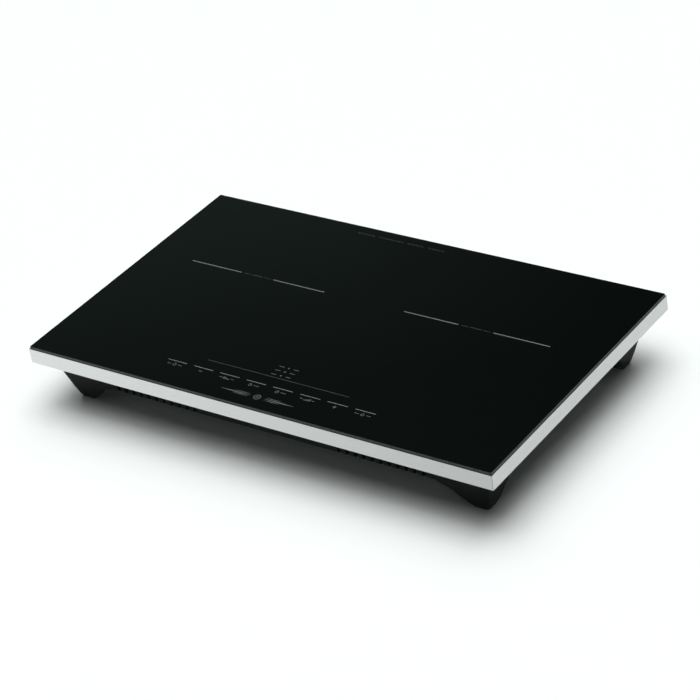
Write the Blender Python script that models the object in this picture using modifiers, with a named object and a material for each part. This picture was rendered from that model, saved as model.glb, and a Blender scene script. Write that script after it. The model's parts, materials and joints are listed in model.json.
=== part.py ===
"""Portable two-zone induction cooktop: black glass on a mitred aluminium frame over a vented plastic tray.

Metres, +Z up. The origin is on the surface it stands on, under the middle of the glass.
-Y is the user's side.
"""

import math

import bmesh
import bpy
from mathutils import Matrix, Vector

MM = 0.001
GAP = 0.3 * MM  # between pieces that touch

# Overall size
WIDTH = 600 * MM
DEPTH = 358 * MM
HEIGHT = 76 * MM

# Glass and the aluminium frame round it
GLASS_THICKNESS = 4 * MM
GLASS_PROUD = 2.7 * MM  # how far the glass stands above the frame's lip
GLASS_CORNER = 1.8 * MM
GLASS_CHAMFER = 0.6 * MM
BAND_HEIGHT = 17.5 * MM
RAIL_WALL = 1.2 * MM
RAIL_LIP = 0.5 * MM  # the thin edge that stands up round the glass
RAIL_FLANGE = 14 * MM  # how far the two flanges reach in from the outer face
SEAL_THICKNESS = 0.8 * MM
SEAL_WIDTH = 9 * MM
MITRE_GAP = 0.2 * MM

GLASS_BOTTOM = HEIGHT - GLASS_THICKNESS
BAND_TOP = HEIGHT - GLASS_PROUD
BAND_BOTTOM = BAND_TOP - BAND_HEIGHT
SEAL_TOP = GLASS_BOTTOM - GAP
LEDGE_TOP = SEAL_TOP - SEAL_THICKNESS - GAP

# Corner keys that hold the mitred rails together
KEY_LEG = 30 * MM
KEY_THICKNESS = 3 * MM

# Tray: walls that lean out towards the rim
WALL = 2.4 * MM
DRAFT = 0.28  # outward lean, per unit of height
TRAY_BOTTOM = 26.5 * MM
TRAY_INSET = 24.8 * MM  # of the wall's outer face at the tray's bottom, from the frame's
TRAY_HALF_X = WIDTH / 2 - TRAY_INSET
TRAY_HALF_Y = DEPTH / 2 - TRAY_INSET
TRAY_CORNER = 7 * MM
EDGE_ROUNDING = 2.5 * MM
RIM_TOP = BAND_BOTTOM - GAP
RIM_THICKNESS = 1.6 * MM
RIM_BOTTOM = RIM_TOP - RIM_THICKNESS
RIM_HALF_X = WIDTH / 2 - 6 * MM
RIM_HALF_Y = DEPTH / 2 - 6 * MM
FLOOR_TOP = TRAY_BOTTOM + WALL

# Feet, one at each corner: steep outside, flared inside
FOOT_PROUD = 0.8 * MM
FOOT_CORNER = 2.8 * MM
FOOT_TIP_ROUNDING = 2.4 * MM  # added to the corner at the ground, less and less up to the height below
FOOT_TIP_HEIGHT = 13 * MM
PAD_HEIGHT = 1.7 * MM
PAD_INSET = 0.5 * MM
# (height, how far the section stands back from the outer slope, length along X, length along Y)
FOOT_SECTIONS = (
    (2.0, 0.6, 21.5, 19.0),
    (3.0, 0.1, 24.0, 21.5),
    (5.0, 0.0, 27.0, 24.5),
    (8.5, 0.0, 31.5, 28.5),
    (13.0, 0.0, 37.5, 32.0),
    (18.0, 0.0, 43.5, 36.0),
    (23.0, 0.0, 53.0, 42.0),
    (26.5, 0.0, 63.0, 49.0),
    (44.0, 0.0, 65.0, 50.0),
)
FOOT_HOLLOW_SECTIONS = (
    (8.0, 3.5, 20.0, 14.0),
    (14.0, 3.0, 29.0, 22.0),
    (26.0, 3.0, 44.0, 34.0),
    (36.0, 3.0, 50.0, 38.0),
)

# Vents in the walls
SLOT_WIDTH = 4 * MM
SLOT_PITCH = 10.5 * MM
SLOT_LOW = TRAY_BOTTOM - 2 * MM  # the slots wrap round the tray's lower edge
SLOT_HIGH = 42 * MM
SLOT_DEPTH = 6.5 * MM  # how far they cut in from the wall's outer face
FRONT_GROUP_X = 147 * MM
FRONT_SLOTS = 11
SIDE_SLOTS = 13

# Cooking zones
ZONE_X = 145 * MM
ZONE_Y = 41 * MM
ZONE_RADIUS = 92 * MM

# Cooling fans, on the tray's floor under the coils
FAN_Y = 45 * MM
FAN_SIZE = 80 * MM
FAN_HEIGHT = 15 * MM
FAN_BORE = 38 * MM
FAN_BASE = FLOOR_TOP + GAP
FAN_WEB = 1.8 * MM
BLADES = 7
BLADE_SECTIONS = ((10, 12, 50), (18, 16, 40), (26, 19, 32), (34.5, 22, 26))  # radius, chord, pitch in degrees
BLADE_THICKNESS = 1.2 * MM
BLADE_MIDDLE = 8.4 * MM  # above the fan's base, as are the hub's and axle's heights
HUB_RADIUS = 12.5 * MM
HUB_TOP = 14 * MM
HUB_BOTTOM = 2.4 * MM
AXLE_RADIUS = 2.5 * MM
AXLE_TOP = 11 * MM
AXLE_PLAY = 0.4 * MM

# Height of each layer under the glass
MICA_TOP = SEAL_TOP
MICA_THICKNESS = 0.8 * MM
COIL_THICKNESS = 5.2 * MM
COIL_OUTER = 87 * MM
COIL_INNER = 24 * MM
SENSOR_HOLE = 8 * MM
FORMER_THICKNESS = 3.1 * MM
FERRITE = (54 * MM, 14 * MM, 4.1 * MM)
FERRITE_MIDDLE = 54 * MM  # from the zone's centre
SHIELD_THICKNESS = 1.2 * MM
SHIELD_SIZE = 186 * MM
COIL_TOP = MICA_TOP - MICA_THICKNESS - GAP
FORMER_TOP = COIL_TOP - COIL_THICKNESS - GAP
FERRITE_TOP = FORMER_TOP - FORMER_THICKNESS - GAP
SHIELD_TOP = FERRITE_TOP - FERRITE[2] - GAP
SHIELD_BOTTOM = SHIELD_TOP - SHIELD_THICKNESS
SHIELD_POST_REACH = 62 * MM

# Electronics; pairs are the front and back ends along Y
BOARD_THICKNESS = 1.6 * MM
POWER_BOARD = (-200 * MM, -150 * MM, 200 * MM, -55 * MM)
POWER_BOARD_BOTTOM = 34 * MM
POWER_BOARD_TOP = POWER_BOARD_BOTTOM + BOARD_THICKNESS
BOARD_POST_X = 190 * MM
HEATSINK_Y = (-106 * MM, -62 * MM)
HEATSINK_HALF = 45 * MM
HEATSINK_HEIGHT = 20 * MM
HEATSINK_BASE = 5 * MM
HEATSINK_FINS = 10
TRANSISTOR_Y = (-92 * MM, -76 * MM)
TRANSISTOR_THICKNESS = 5.2 * MM
TRANSISTOR_HEIGHT = 19 * MM
CAPACITOR_X = 100 * MM
CAPACITOR_Y = (-112 * MM, -92 * MM)
CAPACITOR_HALF = 16 * MM
CAPACITOR_HEIGHT = 21 * MM
CHOKE_PLACE = (158 * MM, -104 * MM)
CHOKE_OUTER = 22 * MM
CHOKE_INNER = 10 * MM
CHOKE_HEIGHT = 12 * MM
TERMINAL_Y = (92 * MM, 114 * MM)
SUPPLY_LEAD_RADIUS = 2 * MM
COIL_LEAD_RADIUS = 1.6 * MM
CONTROL_BOARD = (-145 * MM, -152 * MM, 145 * MM, -96 * MM)
CONTROL_BOARD_BOTTOM = HEIGHT - 10.4 * MM
CONTROL_BOARD_TOP = CONTROL_BOARD_BOTTOM + BOARD_THICKNESS
KEY_Y = -137 * MM
KEY_PITCH = 35 * MM
KEYS = 8
KEY_HALF = 12 * MM
KEY_DEPTH = 10 * MM
INDICATOR_Y = -109 * MM
DISPLAY_HALF = (22 * MM, 12 * MM)
CARRIER_MARGIN = 3 * MM
CARRIER_LIP = 2 * MM
CARRIER_DROP = 4.5 * MM  # from the board's underside to the carrier's
RIBBON_X = (60 * MM, 78 * MM)
RIBBON_THICKNESS = 1.2 * MM

# Cord gland in the middle of the back wall
GLAND_Z = 41 * MM
GLAND_BORE = 3.9 * MM
GLAND_NECK = 6.5 * MM
GLAND_COLLAR = 9.5 * MM
GLAND_COLLAR_THICKNESS = 2.4 * MM
GLAND_NOSE = 9 * MM  # how far it stands out past the boss
GLAND_SNAP = 8.2 * MM
GLAND_TAIL = 2.5 * MM  # how far it reaches in past the wall
BOSS_FACE_Y = 164 * MM
BOSS_HALF = (14 * MM, 11 * MM)

# Screws up through the tray's rim into the side rails
SCREW_X = WIDTH / 2 - 10.5 * MM
SCREW_SPACING = 110 * MM
SCREW_RADIUS = 1.5 * MM
SCREW_HEAD = 3.6 * MM
SCREW_LENGTH = 9 * MM
RAIL_HOLE = 1.9 * MM
RIM_HOLE = 2.1 * MM

SIDES = {"left": -1, "right": 1}
ENDS = {"front": -1, "back": 1}


# ---------------------------------------------------------------- materials

def material(name, colour, roughness, metallic=0.0):
    made = bpy.data.materials.new(name)
    made.use_nodes = True
    shader = made.node_tree.nodes["Principled BSDF"]
    shader.inputs["Base Color"].default_value = (*colour, 1.0)
    shader.inputs["Roughness"].default_value = roughness
    shader.inputs["Metallic"].default_value = metallic
    return made


def make_materials():
    return {
        "glass": material("black_glass", (0.008, 0.010, 0.009), 0.06),
        "aluminium": material("brushed_aluminium", (0.78, 0.79, 0.78), 0.35, 1.0),
        "tray": material("black_plastic", (0.018, 0.020, 0.020), 0.55),
        "rubber": material("black_rubber", (0.012, 0.012, 0.012), 0.85),
        "seal": material("silicone", (0.02, 0.02, 0.02), 0.7),
        "steel": material("zinc_steel", (0.55, 0.56, 0.58), 0.35, 1.0),
        "board": material("circuit_board", (0.02, 0.16, 0.07), 0.45),
        "copper": material("copper_winding", (0.72, 0.32, 0.16), 0.4, 1.0),
        "former": material("nylon_former", (0.62, 0.60, 0.54), 0.6),
        "ferrite": material("ferrite", (0.05, 0.05, 0.055), 0.5),
        "mica": material("mica", (0.60, 0.55, 0.42), 0.5),
        "component": material("component_plastic", (0.05, 0.05, 0.06), 0.5),
        "wire": material("wire_sleeve", (0.45, 0.04, 0.03), 0.5),
    }


# ---------------------------------------------------------------- shape helpers

def link(obj, helper=False):
    """Puts the object in the part's collection, or hides a cutter or other helper in its own."""
    name = "helpers" if helper else "induction_cooktop"
    group = bpy.data.collections.get(name)
    if group is None:
        group = bpy.data.collections.new(name)
        bpy.context.scene.collection.children.link(group)
    group.objects.link(obj)
    if helper:
        obj.hide_render = True
        obj.display_type = "WIRE"
    return obj


def finish(obj, paint=None, parent=None):
    if paint is not None:
        obj.data.materials.clear()
        obj.data.materials.append(paint)
    if parent is not None:
        obj.parent = parent
    return obj


def from_bmesh(name, shape, helper=False):
    bmesh.ops.recalc_face_normals(shape, faces=shape.faces)
    mesh = bpy.data.meshes.new(name)
    shape.to_mesh(mesh)
    shape.free()
    return link(bpy.data.objects.new(name, mesh), helper)


def rounded_rect(cx, cy, half_x, half_y, radius, steps=3):
    """Points of a rounded rectangle, anticlockwise."""
    points = []
    for corner, (sx, sy) in enumerate(((1, 1), (-1, 1), (-1, -1), (1, -1))):
        for step in range(steps + 1):
            angle = (corner + step / steps) * math.pi / 2
            points.append((
                cx + sx * (half_x - radius) + radius * math.cos(angle),
                cy + sy * (half_y - radius) + radius * math.sin(angle),
            ))
    return points


def box_loop(low_x, low_y, high_x, high_y):
    return [(low_x, low_y), (high_x, low_y), (high_x, high_y), (low_x, high_y)]


def spread(count, pitch, middle=0.0):
    """Places of a row of equally spaced things about a middle."""
    return [middle + (i - (count - 1) / 2) * pitch for i in range(count)]


def circle(cx, cy, radius, count):
    turns = [2 * math.pi * i / count for i in range(count)]
    return [(cx + radius * math.cos(a), cy + radius * math.sin(a)) for a in turns]


def ring_sector(cx, cy, inner, outer, start, end, steps):
    """A piece of a ring, between two radii and two angles."""
    angles = [start + (end - start) * i / steps for i in range(steps + 1)]
    out = [(cx + outer * math.cos(a), cy + outer * math.sin(a)) for a in angles]
    back = [(cx + inner * math.cos(a), cy + inner * math.sin(a)) for a in reversed(angles)]
    return out + back


def flat_solid(name, loops, low, high, axis="Z", helper=False):
    """A flat outline, with holes where loops lie inside it, extruded from low to high along an axis.

    Along Y the outline's points are (x, z); along X they are (y, z).
    """
    curve = bpy.data.curves.new(name, "CURVE")
    curve.dimensions = "2D"
    curve.fill_mode = "BOTH"
    curve.extrude = (high - low) / 2
    for loop in loops:
        spline = curve.splines.new("POLY")
        spline.points.add(len(loop) - 1)
        for point, (u, v) in zip(spline.points, loop):
            point.co = (u, v, 0, 1)
        spline.use_cyclic_u = True
    drawn = link(bpy.data.objects.new(name, curve), helper=True)
    middle = (low + high) / 2
    quarter = math.pi / 2
    drawn.location = {"X": (middle, 0, 0), "Y": (0, middle, 0), "Z": (0, 0, middle)}[axis]
    drawn.rotation_euler = {"X": (quarter, 0, quarter), "Y": (quarter, 0, 0), "Z": (0, 0, 0)}[axis]
    return as_mesh(drawn, name, helper)


def as_mesh(drawn, name, helper=False):
    """Turns a curve object into a closed mesh object in world places."""
    bpy.context.view_layer.update()
    evaluated = drawn.evaluated_get(bpy.context.evaluated_depsgraph_get())
    mesh = bpy.data.meshes.new_from_object(evaluated)
    mesh.transform(drawn.matrix_world)
    bpy.data.objects.remove(drawn)
    shape = bmesh.new()
    shape.from_mesh(mesh)
    bpy.data.meshes.remove(mesh)
    bmesh.ops.remove_doubles(shape, verts=shape.verts, dist=0.01 * MM)
    return from_bmesh(name, shape, helper)


def loft(name, loops, helper=False):
    """A closed skin through loops of 3D points, all with the same count, with both ends capped."""
    shape = bmesh.new()
    rings = [[shape.verts.new(point) for point in loop] for loop in loops]
    count = len(rings[0])
    for lower, upper in zip(rings, rings[1:]):
        for i in range(count):
            j = (i + 1) % count
            shape.faces.new((lower[i], lower[j], upper[j], upper[i]))
    shape.faces.new(rings[0][::-1])
    shape.faces.new(rings[-1])
    return from_bmesh(name, shape, helper)


def at_height(loop, z):
    return [(x, y, z) for x, y in loop]


def block(name, low, high, rounding=0.0, helper=False):
    """A box between two corners, with its edges rounded if asked."""
    shape = bmesh.new()
    bmesh.ops.create_cube(shape, size=1.0)
    low, high = Vector(low), Vector(high)
    bmesh.ops.scale(shape, vec=high - low, verts=shape.verts)
    bmesh.ops.translate(shape, vec=(low + high) / 2, verts=shape.verts)
    made = from_bmesh(name, shape, helper)
    if rounding:
        bevel = made.modifiers.new("rounded_edges", "BEVEL")
        bevel.width = rounding
        bevel.segments = 1
    return made


def many_blocks(name, boxes):
    """Separate boxes in one helper mesh, used as a single cutter."""
    shape = bmesh.new()
    for low, high in boxes:
        made = bmesh.ops.create_cube(shape, size=1.0)["verts"]
        low, high = Vector(low), Vector(high)
        bmesh.ops.scale(shape, vec=high - low, verts=made)
        bmesh.ops.translate(shape, vec=(low + high) / 2, verts=made)
    return from_bmesh(name, shape, helper=True)


def many_posts(name, posts, sides=10):
    """Upright round posts (x, y, radius, low, high) in one helper mesh."""
    shape = bmesh.new()
    for x, y, radius, low, high in posts:
        bmesh.ops.create_cone(
            shape,
            cap_ends=True,
            segments=sides,
            radius1=radius,
            radius2=radius,
            depth=high - low,
            matrix=Matrix.Translation((x, y, (low + high) / 2)),
        )
    return from_bmesh(name, shape, helper=True)


def turned(name, profile, steps=24, helper=False):
    """A turned solid about its own Z axis, from (radius, height) points that run down its outer side."""
    mesh = bpy.data.meshes.new(name)
    closed = len(profile)
    edges = [(i, (i + 1) % closed) for i in range(closed)]
    if profile[0][0] == 0 and profile[-1][0] == 0:
        edges.pop()  # the axis itself closes the shape
    mesh.from_pydata([(r, 0, z) for r, z in profile], edges, [])
    made = link(bpy.data.objects.new(name, mesh), helper)
    screw = made.modifiers.new("turned", "SCREW")
    screw.steps = steps
    screw.render_steps = steps
    screw.use_merge_vertices = True
    screw.merge_threshold = 0.01 * MM
    screw.use_smooth_shade = True
    return made


def boolean(obj, other, operation):
    change = obj.modifiers.new(f"{operation.lower()}_{other.name}"[:60], "BOOLEAN")
    change.operation = operation
    change.object = other
    change.solver = "EXACT"
    return obj


def wire(name, points, radius, smooth_steps=3):
    """A round lead on a smooth curve through the points (Catmull-Rom)."""
    route = []
    ends = [points[0], *points, points[-1]]
    for a, b, c, d in zip(ends, ends[1:], ends[2:], ends[3:]):
        a, b, c, d = (Vector(p) for p in (a, b, c, d))
        for step in range(smooth_steps):
            t = step / smooth_steps
            route.append(0.5 * (2 * b + (c - a) * t + (2 * a - 5 * b + 4 * c - d) * t**2
                                + (3 * b - a - 3 * c + d) * t**3))
    route.append(Vector(points[-1]))
    curve = bpy.data.curves.new(name, "CURVE")
    curve.dimensions = "3D"
    curve.bevel_depth = radius
    curve.bevel_resolution = 1
    curve.use_fill_caps = True
    spline = curve.splines.new("POLY")
    spline.points.add(len(route) - 1)
    for point, place in zip(spline.points, route):
        point.co = (*place, 1)
    return link(bpy.data.objects.new(name, curve))


def anchor(name, place):
    """An empty that a sub-assembly hangs on."""
    empty = bpy.data.objects.new(name, None)
    empty.location = place
    return link(empty)


# ---------------------------------------------------------------- glass and frame

def make_glass(paint):
    half_x = WIDTH / 2 - RAIL_LIP - GAP
    half_y = DEPTH / 2 - RAIL_LIP - GAP
    bevel = GLASS_CHAMFER
    loop = rounded_rect(0, 0, half_x, half_y, GLASS_CORNER, 5)
    top = rounded_rect(0, 0, half_x - bevel, half_y - bevel, GLASS_CORNER - bevel, 5)
    chamfer_start = HEIGHT - GLASS_CHAMFER
    loops = [at_height(loop, GLASS_BOTTOM), at_height(loop, chamfer_start), at_height(top, HEIGHT)]
    finish(loft("glass_plate", loops), paint["glass"])


def make_seal(paint):
    outer = RAIL_LIP + 3 * GAP
    inner = outer + SEAL_WIDTH
    loops = [
        rounded_rect(0, 0, WIDTH / 2 - outer, DEPTH / 2 - outer, GLASS_CORNER),
        rounded_rect(0, 0, WIDTH / 2 - inner, DEPTH / 2 - inner, GLASS_CORNER),
    ]
    finish(flat_solid("glass_seal", loops, SEAL_TOP - SEAL_THICKNESS, SEAL_TOP), paint["seal"])


def rail_profile():
    """The rail's section as (distance in from the outer face, height): a channel open towards the middle."""
    return [
        (0, BAND_BOTTOM),
        (RAIL_FLANGE, BAND_BOTTOM),
        (RAIL_FLANGE, BAND_BOTTOM + RAIL_WALL),
        (RAIL_WALL, BAND_BOTTOM + RAIL_WALL),
        (RAIL_WALL, LEDGE_TOP - RAIL_WALL),
        (RAIL_FLANGE, LEDGE_TOP - RAIL_WALL),
        (RAIL_FLANGE, LEDGE_TOP),
        (RAIL_LIP, LEDGE_TOP),
        (RAIL_LIP, BAND_TOP),
        (0, BAND_TOP),
    ]


def make_rail(name, length, outer_y, turn, paint):
    """A rail along X with its outer face at outer_y and both ends mitred, then turned about Z."""
    side = math.copysign(1, outer_y)
    ends = []
    for end in (-1, 1):
        reach = [length / 2 - inward - MITRE_GAP for inward, _ in rail_profile()]
        ends.append([(end * r, outer_y - side * inward, z) for r, (inward, z) in zip(reach, rail_profile())])
    rail = loft(name, ends)
    rail.rotation_euler.z = turn
    return finish(rail, paint["aluminium"])


def make_frame(paint):
    for end, sign in ENDS.items():
        make_rail(f"frame_rail_{end}", WIDTH, sign * DEPTH / 2, 0, paint)
    holes = [
        (side * SCREW_X, place, RAIL_HOLE, BAND_BOTTOM - 2 * MM, BAND_BOTTOM + 4 * MM)
        for side in SIDES.values() for place in (-SCREW_SPACING, 0, SCREW_SPACING)
    ]
    drill = many_posts("rail_screw_holes", holes)
    for side, sign in SIDES.items():
        rail = make_rail(f"frame_rail_{side}", DEPTH, -sign * WIDTH / 2, math.pi / 2, paint)
        boolean(rail, drill, "DIFFERENCE")


def make_corner_keys(paint):
    low = BAND_BOTTOM + RAIL_WALL + GAP
    high = LEDGE_TOP - RAIL_WALL - GAP
    for end, sy in ENDS.items():
        for side, sx in SIDES.items():
            cx = sx * (WIDTH / 2 - RAIL_WALL - GAP)
            cy = sy * (DEPTH / 2 - RAIL_WALL - GAP)
            loop = [
                (cx, cy),
                (cx - sx * KEY_LEG, cy),
                (cx - sx * KEY_LEG, cy - sy * KEY_THICKNESS),
                (cx - sx * KEY_THICKNESS, cy - sy * KEY_THICKNESS),
                (cx - sx * KEY_THICKNESS, cy - sy * KEY_LEG),
                (cx, cy - sy * KEY_LEG),
            ]
            finish(flat_solid(f"corner_key_{end}_{side}", [loop], low, high), paint["steel"])


# ---------------------------------------------------------------- tray and feet

def tray_section(z, inset=0.0, corner=TRAY_CORNER):
    """The tray wall's outline at a height, moved in by inset."""
    lean = DRAFT * (z - TRAY_BOTTOM)
    return at_height(
        rounded_rect(0, 0, TRAY_HALF_X + lean - inset, TRAY_HALF_Y + lean - inset, corner - inset / 2, 4), z
    )


def foot_rectangle(height, back, length, breadth, sx, sy):
    """Centre and half sizes of one section of a foot."""
    lean = DRAFT * (height * MM - TRAY_BOTTOM) + FOOT_PROUD - back * MM
    half_x, half_y = length * MM / 2, breadth * MM / 2
    return sx * (TRAY_HALF_X + lean - half_x), sy * (TRAY_HALF_Y + lean - half_y), half_x, half_y


def foot_corner(height):
    """Radius of a foot's corners at a height in millimetres, rounder towards the ground."""
    return FOOT_CORNER + FOOT_TIP_ROUNDING * max(0, 1 - height * MM / FOOT_TIP_HEIGHT)


def foot_loops(sections, sx, sy):
    """Sections of a foot whose outer faces follow the wall's lean, from rows in millimetres."""
    loops = []
    for height, back, length, breadth in sections:
        cx, cy, half_x, half_y = foot_rectangle(height, back, length, breadth, sx, sy)
        loops.append(at_height(rounded_rect(cx, cy, half_x, half_y, foot_corner(height)), height * MM))
    return loops


def wall_slots():
    """Boxes that cut the upright vents through all four walls."""
    rise = DRAFT * (SLOT_HIGH - TRAY_BOTTOM)
    boxes = []
    for sign in (-1, 1):
        near, far = sorted((sign * (TRAY_HALF_Y - SLOT_DEPTH), sign * (TRAY_HALF_Y + rise + MM)))
        for group in (-FRONT_GROUP_X, FRONT_GROUP_X):
            for x in spread(FRONT_SLOTS, SLOT_PITCH, group):
                boxes.append(((x - SLOT_WIDTH / 2, near, SLOT_LOW), (x + SLOT_WIDTH / 2, far, SLOT_HIGH)))
        near, far = sorted((sign * (TRAY_HALF_X - SLOT_DEPTH), sign * (TRAY_HALF_X + rise + MM)))
        for y in spread(SIDE_SLOTS, SLOT_PITCH):
            boxes.append(((near, y - SLOT_WIDTH / 2, SLOT_LOW), (far, y + SLOT_WIDTH / 2, SLOT_HIGH)))
    return boxes


def fan_grille(cx):
    """Rings of arc slots under a fan, between four spokes."""
    loops = []
    spoke = 0.14
    for ring in range(4):
        inner = (11 + 7 * ring) * MM
        outer = inner + 4 * MM
        for quarter in range(4):
            start = quarter * math.pi / 2 + math.pi / 4 + spoke * 11 * MM / inner
            end = (quarter + 1) * math.pi / 2 + math.pi / 4 - spoke * 11 * MM / inner
            loops.append(ring_sector(cx, FAN_Y, inner, outer, start, end, 3 + ring))
    return loops


def tray_posts():
    """Posts that carry the shield plates and the power board."""
    posts = []
    for sx in SIDES.values():
        for dx in (-SHIELD_POST_REACH, SHIELD_POST_REACH):
            for dy in (-SHIELD_POST_REACH, SHIELD_POST_REACH):
                posts.append((sx * ZONE_X + dx, ZONE_Y + dy, 4 * MM, FLOOR_TOP - MM, SHIELD_BOTTOM - GAP))
        for y in (POWER_BOARD[1] + 8 * MM, POWER_BOARD[3] - 8 * MM):
            posts.append((sx * BOARD_POST_X, y, 3.5 * MM, FLOOR_TOP - MM, POWER_BOARD_BOTTOM - GAP))
    return posts


def make_tray(paint):
    body = [
        tray_section(TRAY_BOTTOM, EDGE_ROUNDING),
        tray_section(TRAY_BOTTOM + 0.3 * EDGE_ROUNDING, 0.3 * EDGE_ROUNDING),
        tray_section(TRAY_BOTTOM + EDGE_ROUNDING),
        tray_section(RIM_TOP - 0.4 * MM),
    ]
    tray = finish(loft("base_tray", body), paint["tray"])
    rim_outline = rounded_rect(0, 0, RIM_HALF_X, RIM_HALF_Y, TRAY_CORNER, 4)
    rim = flat_solid("tray_rim", [rim_outline], RIM_BOTTOM, RIM_TOP, helper=True)
    boolean(tray, rim, "UNION")
    for end, sy in ENDS.items():
        for side, sx in SIDES.items():
            boolean(tray, loft(f"foot_{end}_{side}", foot_loops(FOOT_SECTIONS, sx, sy), helper=True), "UNION")
    boss_x, boss_z = BOSS_HALF
    boss_low = (-boss_x, TRAY_HALF_Y - MM, GLAND_Z - boss_z)
    boss_high = (boss_x, BOSS_FACE_Y, GLAND_Z + boss_z)
    boolean(tray, block("gland_boss", boss_low, boss_high, helper=True), "UNION")

    room = [tray_section(FLOOR_TOP, WALL + MM), tray_section(RIM_TOP + 3 * MM, WALL)]
    boolean(tray, loft("tray_inside", room, helper=True), "DIFFERENCE")
    for end, sy in ENDS.items():
        for side, sx in SIDES.items():
            hollow = loft(f"hollow_{end}_{side}", foot_loops(FOOT_HOLLOW_SECTIONS, sx, sy), helper=True)
            boolean(tray, hollow, "DIFFERENCE")
    boolean(tray, many_posts("tray_posts", tray_posts()), "UNION")
    boolean(tray, many_blocks("wall_slots", wall_slots()), "DIFFERENCE")
    for side, sx in SIDES.items():
        low, high = TRAY_BOTTOM - 3 * MM, FLOOR_TOP + 3 * MM
        grille = flat_solid(f"fan_grille_{side}", fan_grille(sx * ZONE_X), low, high, helper=True)
        boolean(tray, grille, "DIFFERENCE")
    gland_hole = flat_solid(
        "gland_hole", [circle(0, GLAND_Z, GLAND_NECK + GAP, 16)], 140 * MM, 180 * MM, axis="Y", helper=True
    )
    boolean(tray, gland_hole, "DIFFERENCE")
    holes = [
        (side * SCREW_X, y, RIM_HOLE, RIM_BOTTOM - 4 * MM, RIM_TOP + 4 * MM)
        for side in SIDES.values() for y in (-SCREW_SPACING, 0, SCREW_SPACING)
    ]
    boolean(tray, many_posts("rim_screw_holes", holes), "DIFFERENCE")


def make_foot_pads(paint):
    for end, sy in ENDS.items():
        for side, sx in SIDES.items():
            cx, cy, half_x, half_y = foot_rectangle(*FOOT_SECTIONS[0], sx, sy)
            corner = foot_corner(FOOT_SECTIONS[0][0]) - PAD_INSET
            loop = rounded_rect(cx, cy, half_x - PAD_INSET, half_y - PAD_INSET, corner)
            finish(flat_solid(f"foot_pad_{end}_{side}", [loop], 0, PAD_HEIGHT), paint["rubber"])


def make_gland(paint):
    """A snap-in bushing: an outer collar, a neck through the boss, and an inner collar that snaps past it."""
    outside = BOSS_FACE_Y + GAP
    wall_y = TRAY_HALF_Y + DRAFT * (GLAND_Z - BOSS_HALF[1] - TRAY_BOTTOM)
    inside = wall_y - WALL - MM - GAP
    profile = [
        (GLAND_BORE, outside + GLAND_NOSE),
        (GLAND_BORE + 1.6 * MM, outside + GLAND_NOSE),
        (GLAND_BORE + 2.6 * MM, outside + GLAND_COLLAR_THICKNESS + 0.6 * MM),
        (GLAND_COLLAR, outside + GLAND_COLLAR_THICKNESS),
        (GLAND_COLLAR, outside),
        (GLAND_NECK, outside),
        (GLAND_NECK, inside),
        (GLAND_SNAP, inside),
        (GLAND_SNAP - MM, inside - GLAND_TAIL),
        (GLAND_BORE, inside - GLAND_TAIL),
    ]
    gland = finish(turned("cord_gland", profile, 20), paint["rubber"])
    gland.rotation_euler.x = -math.pi / 2
    gland.location.z = GLAND_Z


def make_tray_screws(paint):
    """Pan-head screws, head down, up through the rim into the side rails."""
    head_top = RIM_BOTTOM - GAP
    number = 0
    for side in SIDES.values():
        for y in (-SCREW_SPACING, 0, SCREW_SPACING):
            number += 1
            profile = [
                (0, head_top + SCREW_LENGTH),
                (SCREW_RADIUS, head_top + SCREW_LENGTH - MM),
                (SCREW_RADIUS, head_top),
                (SCREW_HEAD, head_top),
                (SCREW_HEAD - 0.2 * MM, head_top - 1.4 * MM),
                (2.2 * MM, head_top - 2.3 * MM),
                (0, head_top - 2.5 * MM),
            ]
            screw = finish(turned(f"tray_screw_{number}", profile, 12), paint["steel"])
            screw.location = (side * SCREW_X, y, 0)


# ---------------------------------------------------------------- cooking zones

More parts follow.
